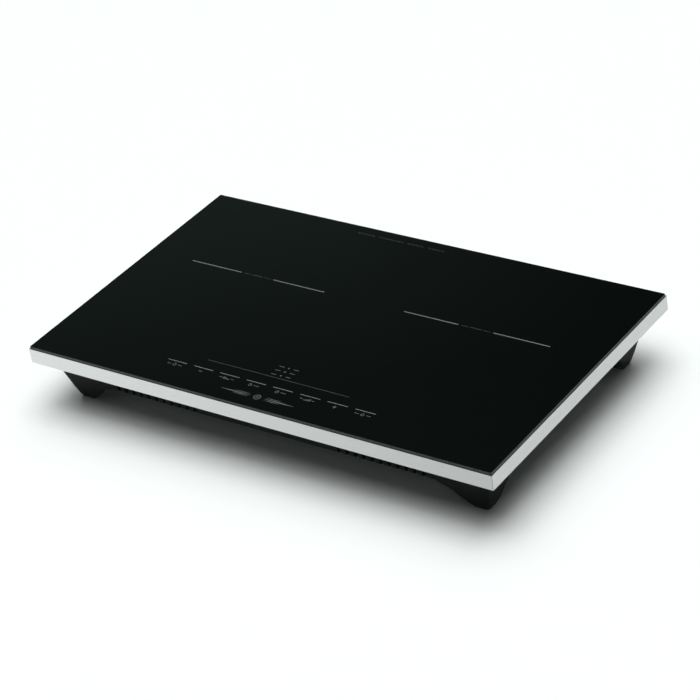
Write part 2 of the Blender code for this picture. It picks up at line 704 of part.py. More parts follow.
def make_coil_set(side, sx, paint):
    """The layers under one cooking zone, hung on an empty at the zone's centre."""
    zone = anchor(f"{side}_zone", (sx * ZONE_X, ZONE_Y, 0))

    mica = [circle(0, 0, ZONE_RADIUS, 32), circle(0, 0, SENSOR_HOLE, 12)]
    finish(flat_solid(f"{side}_mica_sheet", mica, MICA_TOP - MICA_THICKNESS, MICA_TOP), paint["mica"], zone)

    bottom = COIL_TOP - COIL_THICKNESS
    profile = [
        (COIL_INNER + MM, COIL_TOP),
        (COIL_OUTER - MM, COIL_TOP),
        (COIL_OUTER, COIL_TOP - MM),
        (COIL_OUTER, bottom + MM),
        (COIL_OUTER - MM, bottom),
        (COIL_INNER + MM, bottom),
        (COIL_INNER, bottom + MM),
        (COIL_INNER, COIL_TOP - MM),
    ]
    finish(turned(f"{side}_coil", profile, 36), paint["copper"], zone)

    eighth = math.tau / 8
    windows = [
        ring_sector(0, 0, 26 * MM, 80 * MM, (i + 0.16) * eighth, (i + 0.84) * eighth, 4) for i in range(8)
    ]
    former = [circle(0, 0, ZONE_RADIUS, 32), circle(0, 0, SENSOR_HOLE, 12), *windows]
    spider = flat_solid(f"{side}_coil_former", former, FORMER_TOP - FORMER_THICKNESS, FORMER_TOP)
    finish(spider, paint["former"], zone)

    length, breadth, height = FERRITE
    for number in range(4):
        bar = block(
            f"{side}_ferrite_{number + 1}",
            (-length / 2, -breadth / 2, FERRITE_TOP - height),
            (length / 2, breadth / 2, FERRITE_TOP),
            0.6 * MM,
        )
        angle = number * math.pi / 2
        bar.location = (FERRITE_MIDDLE * math.cos(angle), FERRITE_MIDDLE * math.sin(angle), 0)
        bar.rotation_euler.z = angle
        finish(bar, paint["ferrite"], zone)

    half = SHIELD_SIZE / 2
    shield = [rounded_rect(0, 0, half, half, 8 * MM), circle(0, 0, 3 * MM, 12)]
    finish(flat_solid(f"{side}_shield_plate", shield, SHIELD_BOTTOM, SHIELD_TOP), paint["aluminium"], zone)

    profile = [
        (0, SEAL_TOP),
        (5 * MM, SEAL_TOP),
        (6 * MM, SEAL_TOP - MM),
        (6 * MM, SEAL_TOP - 2.4 * MM),
        (4.4 * MM, SEAL_TOP - 3 * MM),
        (4.4 * MM, SHIELD_TOP + 2.5 * MM),
        (9 * MM, SHIELD_TOP + 1.8 * MM),
        (9 * MM, SHIELD_TOP + GAP),
        (0, SHIELD_TOP + GAP),
    ]
    finish(turned(f"{side}_temperature_sensor", profile, 16), paint["component"], zone)


def blade_loops(turn):
    """One fan blade, from inside the hub out to its tip, twisted as it goes out."""
    loops = []
    spin = Matrix.Rotation(turn, 3, "Z")
    corners = ((-1, -1), (1, -1), (1, 1), (-1, 1))
    for radius, chord, pitch in BLADE_SECTIONS:
        along = Vector((0, math.cos(math.radians(pitch)), math.sin(math.radians(pitch))))
        across = Vector((0, -along.z, along.y)) * BLADE_THICKNESS / 2
        middle = Vector((radius * MM, 0, BLADE_MIDDLE))
        loops.append([spin @ (middle + along * u * chord * MM / 2 + across * v) for u, v in corners])
    return loops


def make_fan(side, sx, paint):
    """An axial fan: a square frame with an axle on three struts, and a bladed rotor that turns on it."""
    fan = anchor(f"{side}_fan", (sx * ZONE_X, FAN_Y, FAN_BASE))
    half = FAN_SIZE / 2

    shroud = [rounded_rect(0, 0, half, half, 5 * MM), circle(0, 0, FAN_BORE, 32)]
    frame = flat_solid(f"{side}_fan_frame", shroud, MM, FAN_HEIGHT)
    third = math.tau / 3
    openings = [
        ring_sector(0, 0, 13.5 * MM, 36 * MM, (i + 0.06) * third, (i + 0.94) * third, 7) for i in range(3)
    ]
    web = flat_solid(
        f"{side}_fan_web", [rounded_rect(0, 0, half - 0.5 * MM, half - 0.5 * MM, 5 * MM), *openings],
        0, FAN_WEB, helper=True
    )
    boolean(frame, web, "UNION")
    axle = many_posts(f"{side}_fan_axle", [(0, 0, AXLE_RADIUS, MM, AXLE_TOP)], 12)
    boolean(frame, axle, "UNION")
    finish(frame, paint["component"], fan)

    profile = [
        (0, HUB_TOP),
        (HUB_RADIUS - MM, HUB_TOP),
        (HUB_RADIUS, HUB_TOP - MM),
        (HUB_RADIUS, HUB_BOTTOM),
        (AXLE_RADIUS + AXLE_PLAY, HUB_BOTTOM),
        (AXLE_RADIUS + AXLE_PLAY, AXLE_TOP + 0.6 * MM),
        (0, AXLE_TOP + 0.6 * MM),
    ]
    rotor = turned(f"{side}_fan_rotor", profile, 21)
    for blade in range(BLADES):
        skin = loft(f"{side}_blade_{blade + 1}", blade_loops(blade * math.tau / BLADES), helper=True)
        skin.parent = fan
        boolean(rotor, skin, "UNION")
    finish(rotor, paint["component"], fan)
    for helper in (web, axle):
        helper.parent = fan


# ---------------------------------------------------------------- electronics

def make_power_board(paint):
    board = flat_solid("power_board", [box_loop(*POWER_BOARD)], POWER_BOARD_BOTTOM, POWER_BOARD_TOP)
    finish(board, paint["board"])
    seat = POWER_BOARD_TOP + GAP
    make_heatsink(seat, paint)
    for side, sx in SIDES.items():
        near, far = sorted((sx * (HEATSINK_HALF + GAP), sx * (HEATSINK_HALF + GAP + TRANSISTOR_THICKNESS)))
        low = (near, TRANSISTOR_Y[0], seat + 0.5 * MM)
        high = (far, TRANSISTOR_Y[1], seat + TRANSISTOR_HEIGHT)
        finish(block(f"{side}_power_transistor", low, high, 0.5 * MM), paint["component"])
        low = (sx * CAPACITOR_X - CAPACITOR_HALF, CAPACITOR_Y[0], seat)
        high = (sx * CAPACITOR_X + CAPACITOR_HALF, CAPACITOR_Y[1], seat + CAPACITOR_HEIGHT)
        finish(block(f"{side}_capacitor", low, high, 1.5 * MM), paint["component"])
    make_choke(seat, paint)


def make_heatsink(seat, paint):
    """A comb of upright fins on one base."""
    pitch = 2 * HEATSINK_HALF / (2 * HEATSINK_FINS - 1)
    top, base = seat + HEATSINK_HEIGHT, seat + HEATSINK_BASE
    comb = [(-HEATSINK_HALF, seat), (HEATSINK_HALF, seat)]
    for fin in range(HEATSINK_FINS):
        right = HEATSINK_HALF - 2 * fin * pitch
        comb += [(right, top), (right - pitch, top)]
        if fin < HEATSINK_FINS - 1:
            comb += [(right - pitch, base), (right - 2 * pitch, base)]
    finish(flat_solid("heatsink", [comb], *HEATSINK_Y, axis="Y"), paint["aluminium"])


def make_choke(seat, paint):
    chamfer = 2 * MM
    profile = [
        (CHOKE_OUTER - chamfer, CHOKE_HEIGHT),
        (CHOKE_OUTER, CHOKE_HEIGHT - chamfer),
        (CHOKE_OUTER, chamfer),
        (CHOKE_OUTER - chamfer, 0),
        (CHOKE_INNER + chamfer, 0),
        (CHOKE_INNER, chamfer),
        (CHOKE_INNER, CHOKE_HEIGHT - chamfer),
        (CHOKE_INNER + chamfer, CHOKE_HEIGHT),
    ]
    choke = finish(turned("filter_choke", profile, 24), paint["copper"])
    choke.location = (*CHOKE_PLACE, seat)


def make_supply(paint):
    """The terminal block inside the gland, and the lead from it along the floor to the power board."""
    base = FLOOR_TOP + GAP
    ways = [
        (-18, 0), (18, 0), (18, 14), (14, 14), (14, 10), (10, 10), (10, 14), (2, 14),
        (2, 10), (-2, 10), (-2, 14), (-10, 14), (-10, 10), (-14, 10), (-14, 14), (-18, 14),
    ]
    loop = [(x * MM, base + z * MM) for x, z in ways]
    finish(flat_solid("terminal_block", [loop], *TERMINAL_Y, axis="Y"), paint["former"])

    lying = base + SUPPLY_LEAD_RADIUS
    landed = POWER_BOARD_TOP + GAP + SUPPLY_LEAD_RADIUS
    route = [
        (0, TERMINAL_Y[0] - 0.5 * MM, base + 5 * MM),
        (0, 76 * MM, lying + MM),
        (6 * MM, 40 * MM, lying),
        (-6 * MM, 0, lying),
        (0, -34 * MM, lying + MM),
        (0, -48 * MM, landed),
        (0, -59 * MM, landed),
    ]
    finish(wire("supply_lead", route, SUPPLY_LEAD_RADIUS), paint["wire"])


def make_coil_lead(side, sx, paint):
    """From the coil's outer edge down to the power board."""
    x = sx * ZONE_X
    points = [
        (x, ZONE_Y - COIL_OUTER - 2 * MM, COIL_TOP - COIL_THICKNESS / 2),
        (x - sx * 2 * MM, ZONE_Y - COIL_OUTER - 8 * MM, COIL_TOP - 6 * MM),
        (x - sx * 5 * MM, -58 * MM, POWER_BOARD_TOP + 16 * MM),
        (x - sx * 6 * MM, -64 * MM, POWER_BOARD_TOP + 6 * MM),
        (x - sx * 6 * MM, -65 * MM, POWER_BOARD_TOP + GAP),
    ]
    finish(wire(f"{side}_coil_lead", points, COIL_LEAD_RADIUS), paint["wire"])


def make_control_panel(paint):
    """The touch panel bonded under the glass: carrier, board, touch strip and display."""
    board = flat_solid("control_board", [box_loop(*CONTROL_BOARD)], CONTROL_BOARD_BOTTOM, CONTROL_BOARD_TOP)
    finish(board, paint["board"])
    make_carrier(paint)

    seat = CONTROL_BOARD_TOP + GAP
    half = (KEYS - 1) * KEY_PITCH / 2 + KEY_HALF
    teeth = []
    for middle in reversed(spread(KEYS, KEY_PITCH)):
        right, left = middle + KEY_HALF, middle - KEY_HALF
        teeth += [(right, seat + MM), (right, SEAL_TOP), (left, SEAL_TOP), (left, seat + MM)]
    outline = [(-half, seat), (half, seat), *teeth]
    strip = flat_solid("touch_strip", [outline], KEY_Y - KEY_DEPTH / 2, KEY_Y + KEY_DEPTH / 2, axis="Y")
    finish(strip, paint["rubber"])
    half_x, half_y = DISPLAY_HALF
    low = (-half_x, INDICATOR_Y - half_y, seat)
    high = (half_x, INDICATOR_Y + half_y, SEAL_TOP)
    finish(block("display_module", low, high, 0.4 * MM), paint["component"])


def make_carrier(paint):
    """A shallow tray with a step all round that the control board lies on."""
    low_x, low_y, high_x, high_y = CONTROL_BOARD
    bottom = CONTROL_BOARD_BOTTOM - CARRIER_DROP
    outer = rounded_rect(
        (low_x + high_x) / 2,
        (low_y + high_y) / 2,
        (high_x - low_x) / 2 + CARRIER_MARGIN,
        (high_y - low_y) / 2 + CARRIER_MARGIN,
        3 * MM,
    )
    carrier = flat_solid("control_carrier", [outer], bottom, SEAL_TOP)
    seat_cut = block(
        "carrier_seat",
        (low_x - GAP, low_y - GAP, CONTROL_BOARD_BOTTOM - GAP),
        (high_x + GAP, high_y + GAP, HEIGHT),
        helper=True,
    )
    boolean(carrier, seat_cut, "DIFFERENCE")
    well_cut = block(
        "carrier_well",
        (low_x + CARRIER_LIP, low_y + CARRIER_LIP, bottom + 1.5 * MM),
        (high_x - CARRIER_LIP, high_y - CARRIER_LIP, HEIGHT),
        helper=True,
    )
    boolean(carrier, well_cut, "DIFFERENCE")
    finish(carrier, paint["former"])


def make_ribbon_cable(paint):
    """A flat cable that hangs from the control panel down to the power board."""
    top = CONTROL_BOARD_BOTTOM - CARRIER_DROP - MM
    low = POWER_BOARD_TOP + GAP
    line = [
        (-94, top), (-88, top), (-80, top - 2 * MM), (-77, top - 8 * MM),
        (-80, low + 10 * MM), (-86, low + 5 * MM), (-86, low),
    ]
    route = [Vector((y * MM, z)) for y, z in line]
    faces = []
    for sign in (1, -1):
        shifted = []
        for i, point in enumerate(route):
            along = (route[min(i + 1, len(route) - 1)] - route[max(i - 1, 0)]).normalized()
            shifted.append(tuple(point + Vector((-along.y, along.x)) * sign * RIBBON_THICKNESS / 2))
        faces.append(shifted)
    outline = faces[0] + faces[1][::-1]
    finish(flat_solid("ribbon_cable", [outline], *RIBBON_X, axis="X"), paint["wire"])


def main():
    for obj in list(bpy.data.objects):
        bpy.data.objects.remove(obj)
    paint = make_materials()
    make_glass(paint)
    make_seal(paint)
    make_frame(paint)
    make_corner_keys(paint)
    make_tray(paint)
    make_foot_pads(paint)
    make_gland(paint)
    make_tray_screws(paint)
    for side, sx in SIDES.items():
        make_coil_set(side, sx, paint)
        make_fan(side, sx, paint)
        make_coil_lead(side, sx, paint)
    make_power_board(paint)
    make_supply(paint)
    make_control_panel(paint)
    make_ribbon_cable(paint)


main()
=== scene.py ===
"""Looks of a portable two-zone induction cooktop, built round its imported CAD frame, in a white studio."""

import json
import math
import random

import bmesh
import bpy
from mathutils import Matrix, Vector


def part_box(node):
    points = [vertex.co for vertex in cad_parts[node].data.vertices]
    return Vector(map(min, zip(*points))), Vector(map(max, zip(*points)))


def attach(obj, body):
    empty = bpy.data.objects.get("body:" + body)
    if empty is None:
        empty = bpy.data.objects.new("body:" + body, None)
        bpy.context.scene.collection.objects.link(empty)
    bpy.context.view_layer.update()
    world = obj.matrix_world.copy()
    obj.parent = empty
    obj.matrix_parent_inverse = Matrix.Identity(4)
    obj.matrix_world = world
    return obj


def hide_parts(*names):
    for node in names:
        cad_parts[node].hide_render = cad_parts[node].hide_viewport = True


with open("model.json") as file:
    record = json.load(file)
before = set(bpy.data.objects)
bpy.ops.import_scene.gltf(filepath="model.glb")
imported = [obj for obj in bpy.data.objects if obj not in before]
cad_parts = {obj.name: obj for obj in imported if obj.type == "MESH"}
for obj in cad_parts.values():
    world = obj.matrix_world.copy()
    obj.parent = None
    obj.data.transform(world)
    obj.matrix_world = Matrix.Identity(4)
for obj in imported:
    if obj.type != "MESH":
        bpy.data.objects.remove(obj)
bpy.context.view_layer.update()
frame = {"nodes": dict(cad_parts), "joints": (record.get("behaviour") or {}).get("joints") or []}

MM = 0.001
HOUSING = "housing"
SIDES = {"left": -1, "right": 1}
ENDS = ("front", "back")

GLASS_LOW, GLASS_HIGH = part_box("glass_plate")
GLASS_TOP = GLASS_HIGH.z
GLASS_CORNER = 1.8 * MM
GLASS_TOP_ROUND = 0.55 * MM
GLASS_BOTTOM_ROUND = 0.3 * MM

# Camera: a long lens from the front right, tilted a little
AIM = Vector((0.041, -0.0461, GLASS_TOP))
AZIMUTH = 39.14
ELEVATION = 32.15
ROLL = -9.16
DISTANCE = 2.808
LENS = 135.9
SENSOR = 36

# Studio
LAMP_COLOUR = (0.96, 1.0, 0.985)
SURROUND_COLOUR = (0.92, 0.99, 1.0)
SURROUND_ON_SHADOWS = 0.05  # how much of the surround lights matt surfaces
FLOOR_SIZE = 12
FLOOR_DROP = 0.05 * MM
WALL_RADIUS = 5
WALL_LOW, WALL_HIGH = 0.35, 4.5
CEILING_RADIUS, CEILING_HEIGHT = 3.2, 5.2
FRONT_CARD_HALF = 0.7
FRONT_CARD_MIDDLE = (-0.1, -0.91, 0.5 * MM)

# Marks on the glass, measured from its middle
ZONE_X = 145 * MM
ZONE_Y = 41 * MM
KEY_Y = -137 * MM
KEY_PITCH = 35 * MM
KEYS = 8
SIGN_Y = KEY_Y - 6 * MM
SIGN_SCALE = 1.25
INDICATOR_Y = -109 * MM
INDICATOR_PITCH = 7.5 * MM
DIVIDER_Y = -121.5 * MM
ORNAMENT_Y = -159.5 * MM
BACK_Y = 164 * MM
INK_GAP = 0.005 * MM
INK_HEIGHT = 0.04 * MM


# ---------------------------------------------------------------- studio

def make_camera():
    azimuth, elevation = math.radians(AZIMUTH), math.radians(ELEVATION)
    level = math.cos(elevation)
    forward = Vector((-math.sin(azimuth) * level, math.cos(azimuth) * level, -math.sin(elevation)))
    data = bpy.data.cameras.new("camera")
    data.lens = LENS
    data.sensor_width = SENSOR
    camera = bpy.data.objects.new("camera", data)
    bpy.context.scene.collection.objects.link(camera)
    camera.location = AIM - forward * DISTANCE
    turn = forward.to_track_quat("-Z", "Y").to_matrix() @ Matrix.Rotation(math.radians(ROLL), 3, "Z")
    camera.rotation_euler = turn.to_euler()
    bpy.context.scene.camera = camera


def make_softbox(name, towards, spread_angle, strength):
    """A round softbox far off in one direction, so wide that its shadows have no edge."""
    data = bpy.data.lights.new(name, "SUN")
    data.angle = math.radians(spread_angle)
    data.energy = strength
    data.color = LAMP_COLOUR
    lamp = bpy.data.objects.new(name, data)
    bpy.context.scene.collection.objects.link(lamp)
    lamp.location = towards
    lamp.rotation_euler = (-Vector(towards)).to_track_quat("-Z", "Y").to_euler()
    lamp.visible_glossy = False


def make_studio():
    """Soft light from above and a little behind, and a white surround that lights the shadows faintly.

    The light from below reaches through the floor, for the underside only.
    """
    scene = bpy.context.scene
    scene.view_settings.view_transform = "Standard"
    world = bpy.data.worlds.new("studio")
    world.use_nodes = True
    tree = world.node_tree
    background = tree.nodes["Background"]
    background.inputs["Color"].default_value = (*SURROUND_COLOUR, 1)
    rays = tree.nodes.new("ShaderNodeLightPath")
    strength = tree.nodes.new("ShaderNodeMapRange")
    strength.inputs["To Min"].default_value = 1.0
    strength.inputs["To Max"].default_value = SURROUND_ON_SHADOWS
    tree.links.new(rays.outputs["Is Diffuse Ray"], strength.inputs["Value"])
    tree.links.new(strength.outputs["Result"], background.inputs["Strength"])
    scene.world = world
    make_softbox("overhead", (0.1, 0, 3), 62, 1.87)
    make_softbox("behind", (-0.7, 1.2, 2.9), 66, 1.77)
    make_softbox("below", (0, 0, -3), 60, 2.8)
    make_floor()
    make_dark_cards()
    make_front_card()


def make_floor():
    """A pale floor just under the pads, seen from above only, so that the underside can be looked at."""
    floor = make_sheet("floor", FLOOR_SIZE, (0, 0, -FLOOR_DROP))
    paint = Surface("pale_floor", (0.90, 0.90, 0.90), 0.8)
    paint.shader.inputs["Specular IOR Level"].default_value = 0.1
    paint.vary("Roughness", paint.noise(8), 0.75, 0.85)
    tree = paint.tree
    clear = tree.nodes.new("ShaderNodeBsdfTransparent")
    either = tree.nodes.new("ShaderNodeMixShader")
    tree.links.new(tree.nodes.new("ShaderNodeNewGeometry").outputs["Backfacing"], either.inputs["Fac"])
    tree.links.new(paint.shader.outputs["BSDF"], either.inputs[1])
    tree.links.new(clear.outputs["BSDF"], either.inputs[2])
    tree.links.new(either.outputs["Shader"], tree.nodes["Material Output"].inputs["Surface"])
    floor.data.materials.append(paint.material)
    floor.visible_shadow = False
    return floor


def make_sheet(name, half, middle):
    """A square sheet that faces up."""
    shape = bmesh.new()
    bmesh.ops.create_grid(shape, x_segments=1, y_segments=1, size=half)
    bmesh.ops.translate(shape, vec=middle, verts=shape.verts)
    return from_bmesh(name, shape)


def make_card(card, paint, colour, strength):
    """Makes an object a glowing card that only reflections see."""
    glow = paint.node("ShaderNodeEmission", Color=(*colour, 1))
    paint.link(strength, glow.inputs["Strength"])
    paint.link(glow.outputs["Emission"], paint.tree.nodes["Material Output"].inputs["Surface"])
    card.data.materials.append(paint.material)
    for ray in ("visible_camera", "visible_diffuse", "visible_shadow", "visible_transmission"):
        setattr(card, ray, False)
    return card


def make_dark_cards():
    """A dark wall and ceiling that only reflections see, so that black glass looks black.

    They are a little brighter at the far left and below about 3 m.
    """
    shape = bmesh.new()
    bmesh.ops.create_circle(shape, segments=64, radius=WALL_RADIUS)
    made = bmesh.ops.extrude_edge_only(shape, edges=shape.edges)["geom"]
    upper = [v for v in made if isinstance(v, bmesh.types.BMVert)]
    bmesh.ops.translate(shape, vec=(0, 0, WALL_HIGH - WALL_LOW), verts=upper)
    ceiling = bmesh.ops.create_circle(shape, segments=64, radius=CEILING_RADIUS, cap_ends=True)["verts"]
    bmesh.ops.translate(shape, vec=(0, 0, CEILING_HEIGHT - WALL_LOW), verts=ceiling)
    bmesh.ops.translate(shape, vec=(0, 0, WALL_LOW), verts=shape.verts)
    paint = Surface("dark_card", (0, 0, 0), 1)
    x, _, z = paint.axes()
    across = paint.ranged(x, -3.1, -2.4, 1.0, 0.25)
    upwards = paint.ranged(z, 2.6, 3.35, 0.10, 0.030)
    cards = from_bmesh("dark_cards", shape)
    return make_card(cards, paint, (0.71, 1.0, 0.90), paint.times(across, upwards))


def make_front_card():
    """A graded card on the floor in front, which dims the front rail towards the right."""
    paint = Surface("graded_card", (0, 0, 0), 1)
    strength = paint.ranged(paint.axes()[0], -0.50, 0.30, 1.15, 0.65)
    sheet = make_sheet("front_card", FRONT_CARD_HALF, FRONT_CARD_MIDDLE)
    return make_card(sheet, paint, (0.965, 1.0, 1.0), strength)


# ---------------------------------------------------------------- material tools

class Surface:
    """One procedural material on a Principled shader, in the object's own coordinates (metres)."""

    def __init__(self, name, colour, roughness, metallic=0.0):
        self.material = bpy.data.materials.new(name)
        self.material.use_nodes = True
        self.tree = self.material.node_tree
        self.shader = self.tree.nodes["Principled BSDF"]
        self.shader.inputs["Base Color"].default_value = (*colour, 1)
        self.shader.inputs["Roughness"].default_value = roughness
        self.shader.inputs["Metallic"].default_value = metallic
        self.place = self.tree.nodes.new("ShaderNodeTexCoord").outputs["Object"]
        self.normal = None

    def node(self, kind, **values):
        made = self.tree.nodes.new(kind)
        for name, value in values.items():
            made.inputs[name.replace("_", " ")].default_value = value
        return made

    def link(self, start, end):
        self.tree.links.new(start, end)

    def stretched(self, stretch):
        if stretch == (1, 1, 1):
            return self.place
        mapping = self.node("ShaderNodeMapping", Scale=stretch)
        self.link(self.place, mapping.inputs["Vector"])
        return mapping.outputs["Vector"]

    def noise(self, scale, detail=2.0, stretch=(1, 1, 1), rough=0.5):
        made = self.node("ShaderNodeTexNoise", Scale=scale, Detail=detail, Roughness=rough)
        self.link(self.stretched(stretch), made.inputs["Vector"])
        return made.outputs["Fac"]

    def cells(self, scale, feature="F1", distance="EUCLIDEAN"):
        made = self.node("ShaderNodeTexVoronoi", Scale=scale)
        made.feature = feature
        if feature != "DISTANCE_TO_EDGE":
            made.distance = distance
        self.link(self.place, made.inputs["Vector"])
        return made.outputs["Distance"]

    def axes(self, vector=None):
        """The three parts of a vector, or of the point's place."""
        split = self.node("ShaderNodeSeparateXYZ")
        self.link(vector or self.place, split.inputs["Vector"])
        return [split.outputs[axis] for axis in "XYZ"]

    def ranged(self, value, low, high, start=0.0, end=1.0):
        """Value's range from low to high, spread over start to end."""
        made = self.node("ShaderNodeMapRange", From_Min=low, From_Max=high, To_Min=start, To_Max=end)
        self.link(value, made.inputs["Value"])
        return made.outputs["Result"]

    def times(self, first, second):
        made = self.tree.nodes.new("ShaderNodeMath")
        made.operation = "MULTIPLY"
        self.link(first, made.inputs[0])
        self.link(second, made.inputs[1])
        return made.outputs["Value"]

    def vary(self, socket, value, low, high, start=0.3, end=0.7):
        self.link(self.ranged(value, start, end, low, high), self.shader.inputs[socket])

    def colours(self, value, *stops):
        """Base colour from (position, colour) stops along a value."""
        self.link(self.ramp(value, *stops), self.shader.inputs["Base Color"])

    def ramp(self, value, *stops):
        made = self.tree.nodes.new("ShaderNodeValToRGB")
        band = made.color_ramp
        while len(band.elements) < len(stops):
            band.elements.new(0.5)
        for element, (place, colour) in zip(band.elements, stops):
            element.position = place
            element.color = (*colour, 1)
        self.link(value, made.inputs["Fac"])
        return made.outputs["Color"]

    def mix(self, share, first, second):
        """A colour that goes from one colour output to a plain colour with a share."""
        made = self.tree.nodes.new("ShaderNodeMix")
        made.data_type = "RGBA"
        start, end, result = made.inputs[6], made.inputs[7], made.outputs[2]  # its sockets for colours
        self.link(share, made.inputs["Factor"])
        self.link(first, start)
        end.default_value = (*second, 1)
        return result

    def bump(self, value, distance, strength=1.0):
        made = self.node("ShaderNodeBump", Strength=strength, Distance=distance)
        self.link(value, made.inputs["Height"])
        if self.normal is not None:
            self.link(self.normal, made.inputs["Normal"])
        self.normal = made.outputs["Normal"]
        self.link(self.normal, self.shader.inputs["Normal"])


# ---------------------------------------------------------------- materials

def black_glass():
    paint = Surface("glass_polished", (0.0025, 0.0034, 0.0030), 0.05)
    paint.shader.inputs["IOR"].default_value = 1.52
    smears = paint.noise(14, 4.0, (1, 2.2, 1), 0.6)
    paint.vary("Roughness", smears, 0.035, 0.075)
    paint.colours(paint.noise(900, 1.0), (0.35, (0.0020, 0.0028, 0.0025)), (0.75, (0.0029, 0.0039, 0.0035)))
    paint.bump(paint.noise(5.5, 1.0), 0.02 * MM, 0.5)
    return paint.material


def ground_edge():
    paint = Surface("glass_ground_edge", (0.03, 0.034, 0.032), 0.3)
    paint.vary("Roughness", paint.noise(700, 3.0), 0.22, 0.42)
    paint.colours(paint.noise(350, 3.0), (0.3, (0.016, 0.019, 0.018)), (0.7, (0.038, 0.043, 0.041)))
    paint.bump(paint.noise(2600, 2.0), 0.03 * MM)
    return paint.material


def brushed_aluminium(name, along, tone=0.72):
    """Satin aluminium with its grain along X or Y, in a given tone; a lower tone makes a copy with painted
    shade.
    """
    paint = Surface(name, (tone, tone, tone), 0.3, 1.0)
    grain = (1, 60, 60) if along == "X" else (60, 1, 60)
    streaks = paint.noise(32, 6.0, grain, 0.7)
    fine = paint.noise(75, 3.0, grain, 0.6)
    dull = (tone * 0.93, tone * 0.945, tone * 0.935)
    paint.colours(streaks, (0.25, dull), (0.75, (tone, tone * 1.012, tone)))
    paint.vary("Roughness", streaks, 0.26, 0.40)
    paint.bump(fine, 0.012 * MM, 0.7)
    paint.bump(paint.noise(30, 2.0), 0.03 * MM, 0.25)
    return paint.material


def moulded_plastic(name, colour, grain, scuffed=0.0, underside=None):
    """Plastic with a fine spark-eroded texture. Given tones grey it with scuff marks near the ground, and
    paint its downward faces lighter as painted light standing in for light from below.
    """
    paint = Surface(name, colour, 0.5)
    paint.shader.inputs["Specular IOR Level"].default_value = 0.10
    light = tuple(c * 1.3 + 0.001 for c in colour)
    tint = paint.ramp(paint.noise(60, 4.0), (0.3, colour), (0.75, light))
    if underside:
        # painted light: faces that point down get the lighter underside tone, standing in for light that
        # hardly reaches them
        facing = paint.axes(paint.tree.nodes.new("ShaderNodeNewGeometry").outputs["Normal"])[2]
        tint = paint.mix(paint.ranged(facing, -0.97, -0.85, 1.0, 0.0), tint, underside)
    if scuffed:
        near_ground = paint.ranged(paint.axes()[2], 0.5 * MM, 9 * MM, 1.0, 0.0)
        marks = paint.ranged(paint.noise(420, 5.0, (1, 1, 0.4), 0.7), 0.52, 0.68)
        tint = paint.mix(paint.times(near_ground, marks), tint, (scuffed, scuffed, scuffed))
    paint.link(tint, paint.shader.inputs["Base Color"])
    paint.vary("Roughness", paint.noise(38, 3.0), 0.44, 0.60)
    paint.bump(paint.noise(grain, 2.0, rough=0.6), 0.05 * MM, 0.55)
    return paint.material


def rubber(name, colour):
    paint = Surface(name, colour, 0.8)
    paint.shader.inputs["Specular IOR Level"].default_value = 0.25
    dusty = tuple(c * 1.8 + 0.006 for c in colour)
    paint.colours(paint.noise(160, 5.0), (0.35, colour), (0.8, dusty))
    paint.vary("Roughness", paint.noise(90, 3.0), 0.72, 0.9)
    paint.bump(paint.noise(1500, 3.0), 0.04 * MM, 0.6)
    return paint.material


def zinc_steel():
    paint = Surface("zinc_plated_steel", (0.55, 0.56, 0.58), 0.3, 1.0)
    film = paint.noise(220, 3.0)
    paint.colours(film, (0.25, (0.50, 0.50, 0.46)), (0.5, (0.56, 0.57, 0.60)), (0.8, (0.60, 0.58, 0.50)))
    paint.vary("Roughness", paint.noise(500, 4.0), 0.22, 0.42)
    paint.bump(paint.cells(900), 0.02 * MM, 0.4)
    return paint.material


def mill_aluminium():
    paint = Surface("mill_aluminium", (0.72, 0.73, 0.74), 0.35, 1.0)
    rolled = paint.noise(26, 5.0, (1, 26, 6), 0.65)
    paint.colours(rolled, (0.3, (0.64, 0.65, 0.66)), (0.7, (0.76, 0.77, 0.78)))
    paint.vary("Roughness", rolled, 0.3, 0.46)
    paint.bump(rolled, 0.02 * MM, 0.5)
    return paint.material


def circuit_board():
    """Solder mask with paler tracks under it."""
    paint = Surface("solder_mask", (0.012, 0.10, 0.045), 0.35)
    tracks = paint.cells(95, feature="DISTANCE_TO_EDGE")
    pale, dark, mask = (0.030, 0.19, 0.085), (0.010, 0.085, 0.038), (0.012, 0.10, 0.045)
    paint.colours(tracks, (0.0, pale), (0.055, pale), (0.075, dark), (1.0, mask))
    paint.vary("Roughness", paint.noise(120, 3.0), 0.28, 0.42)
    paint.bump(paint.ranged(tracks, 0.05, 0.08, 1.0, 0.0), 0.03 * MM, 0.7)
    return paint.material


def copper_strands(name, colour=(0.62, 0.24, 0.10)):
    """Enamelled litz wire: many fine strands side by side."""
    paint = Surface(name, colour, 0.32, 1.0)
    strands = paint.cells(2400)
    dark = tuple(c * 0.55 for c in colour)
    pale = tuple(min(1.0, c * 1.25 + 0.04) for c in colour)
    paint.colours(strands, (0.1, pale), (0.45, colour), (0.8, dark))
    paint.vary("Roughness", paint.noise(240, 3.0), 0.25, 0.42)
    paint.bump(strands, 0.12 * MM, 0.7)
    return paint.material


def nylon():
    paint = Surface("natural_nylon", (0.62, 0.60, 0.54), 0.5)
    paint.colours(paint.noise(45, 4.0), (0.3, (0.56, 0.54, 0.47)), (0.7, (0.66, 0.64, 0.58)))
    paint.vary("Roughness", paint.noise(80, 3.0), 0.42, 0.58)
    paint.bump(paint.noise(1400, 2.0), 0.04 * MM, 0.5)
    return paint.material


def ferrite():
    paint = Surface("sintered_ferrite", (0.05, 0.05, 0.055), 0.5)
    grains = paint.cells(1300)
    paint.colours(grains, (0.1, (0.075, 0.075, 0.08)), (0.7, (0.035, 0.035, 0.04)))
    paint.vary("Roughness", paint.noise(300, 4.0), 0.4, 0.62)
    paint.bump(grains, 0.06 * MM, 0.6)
    return paint.material


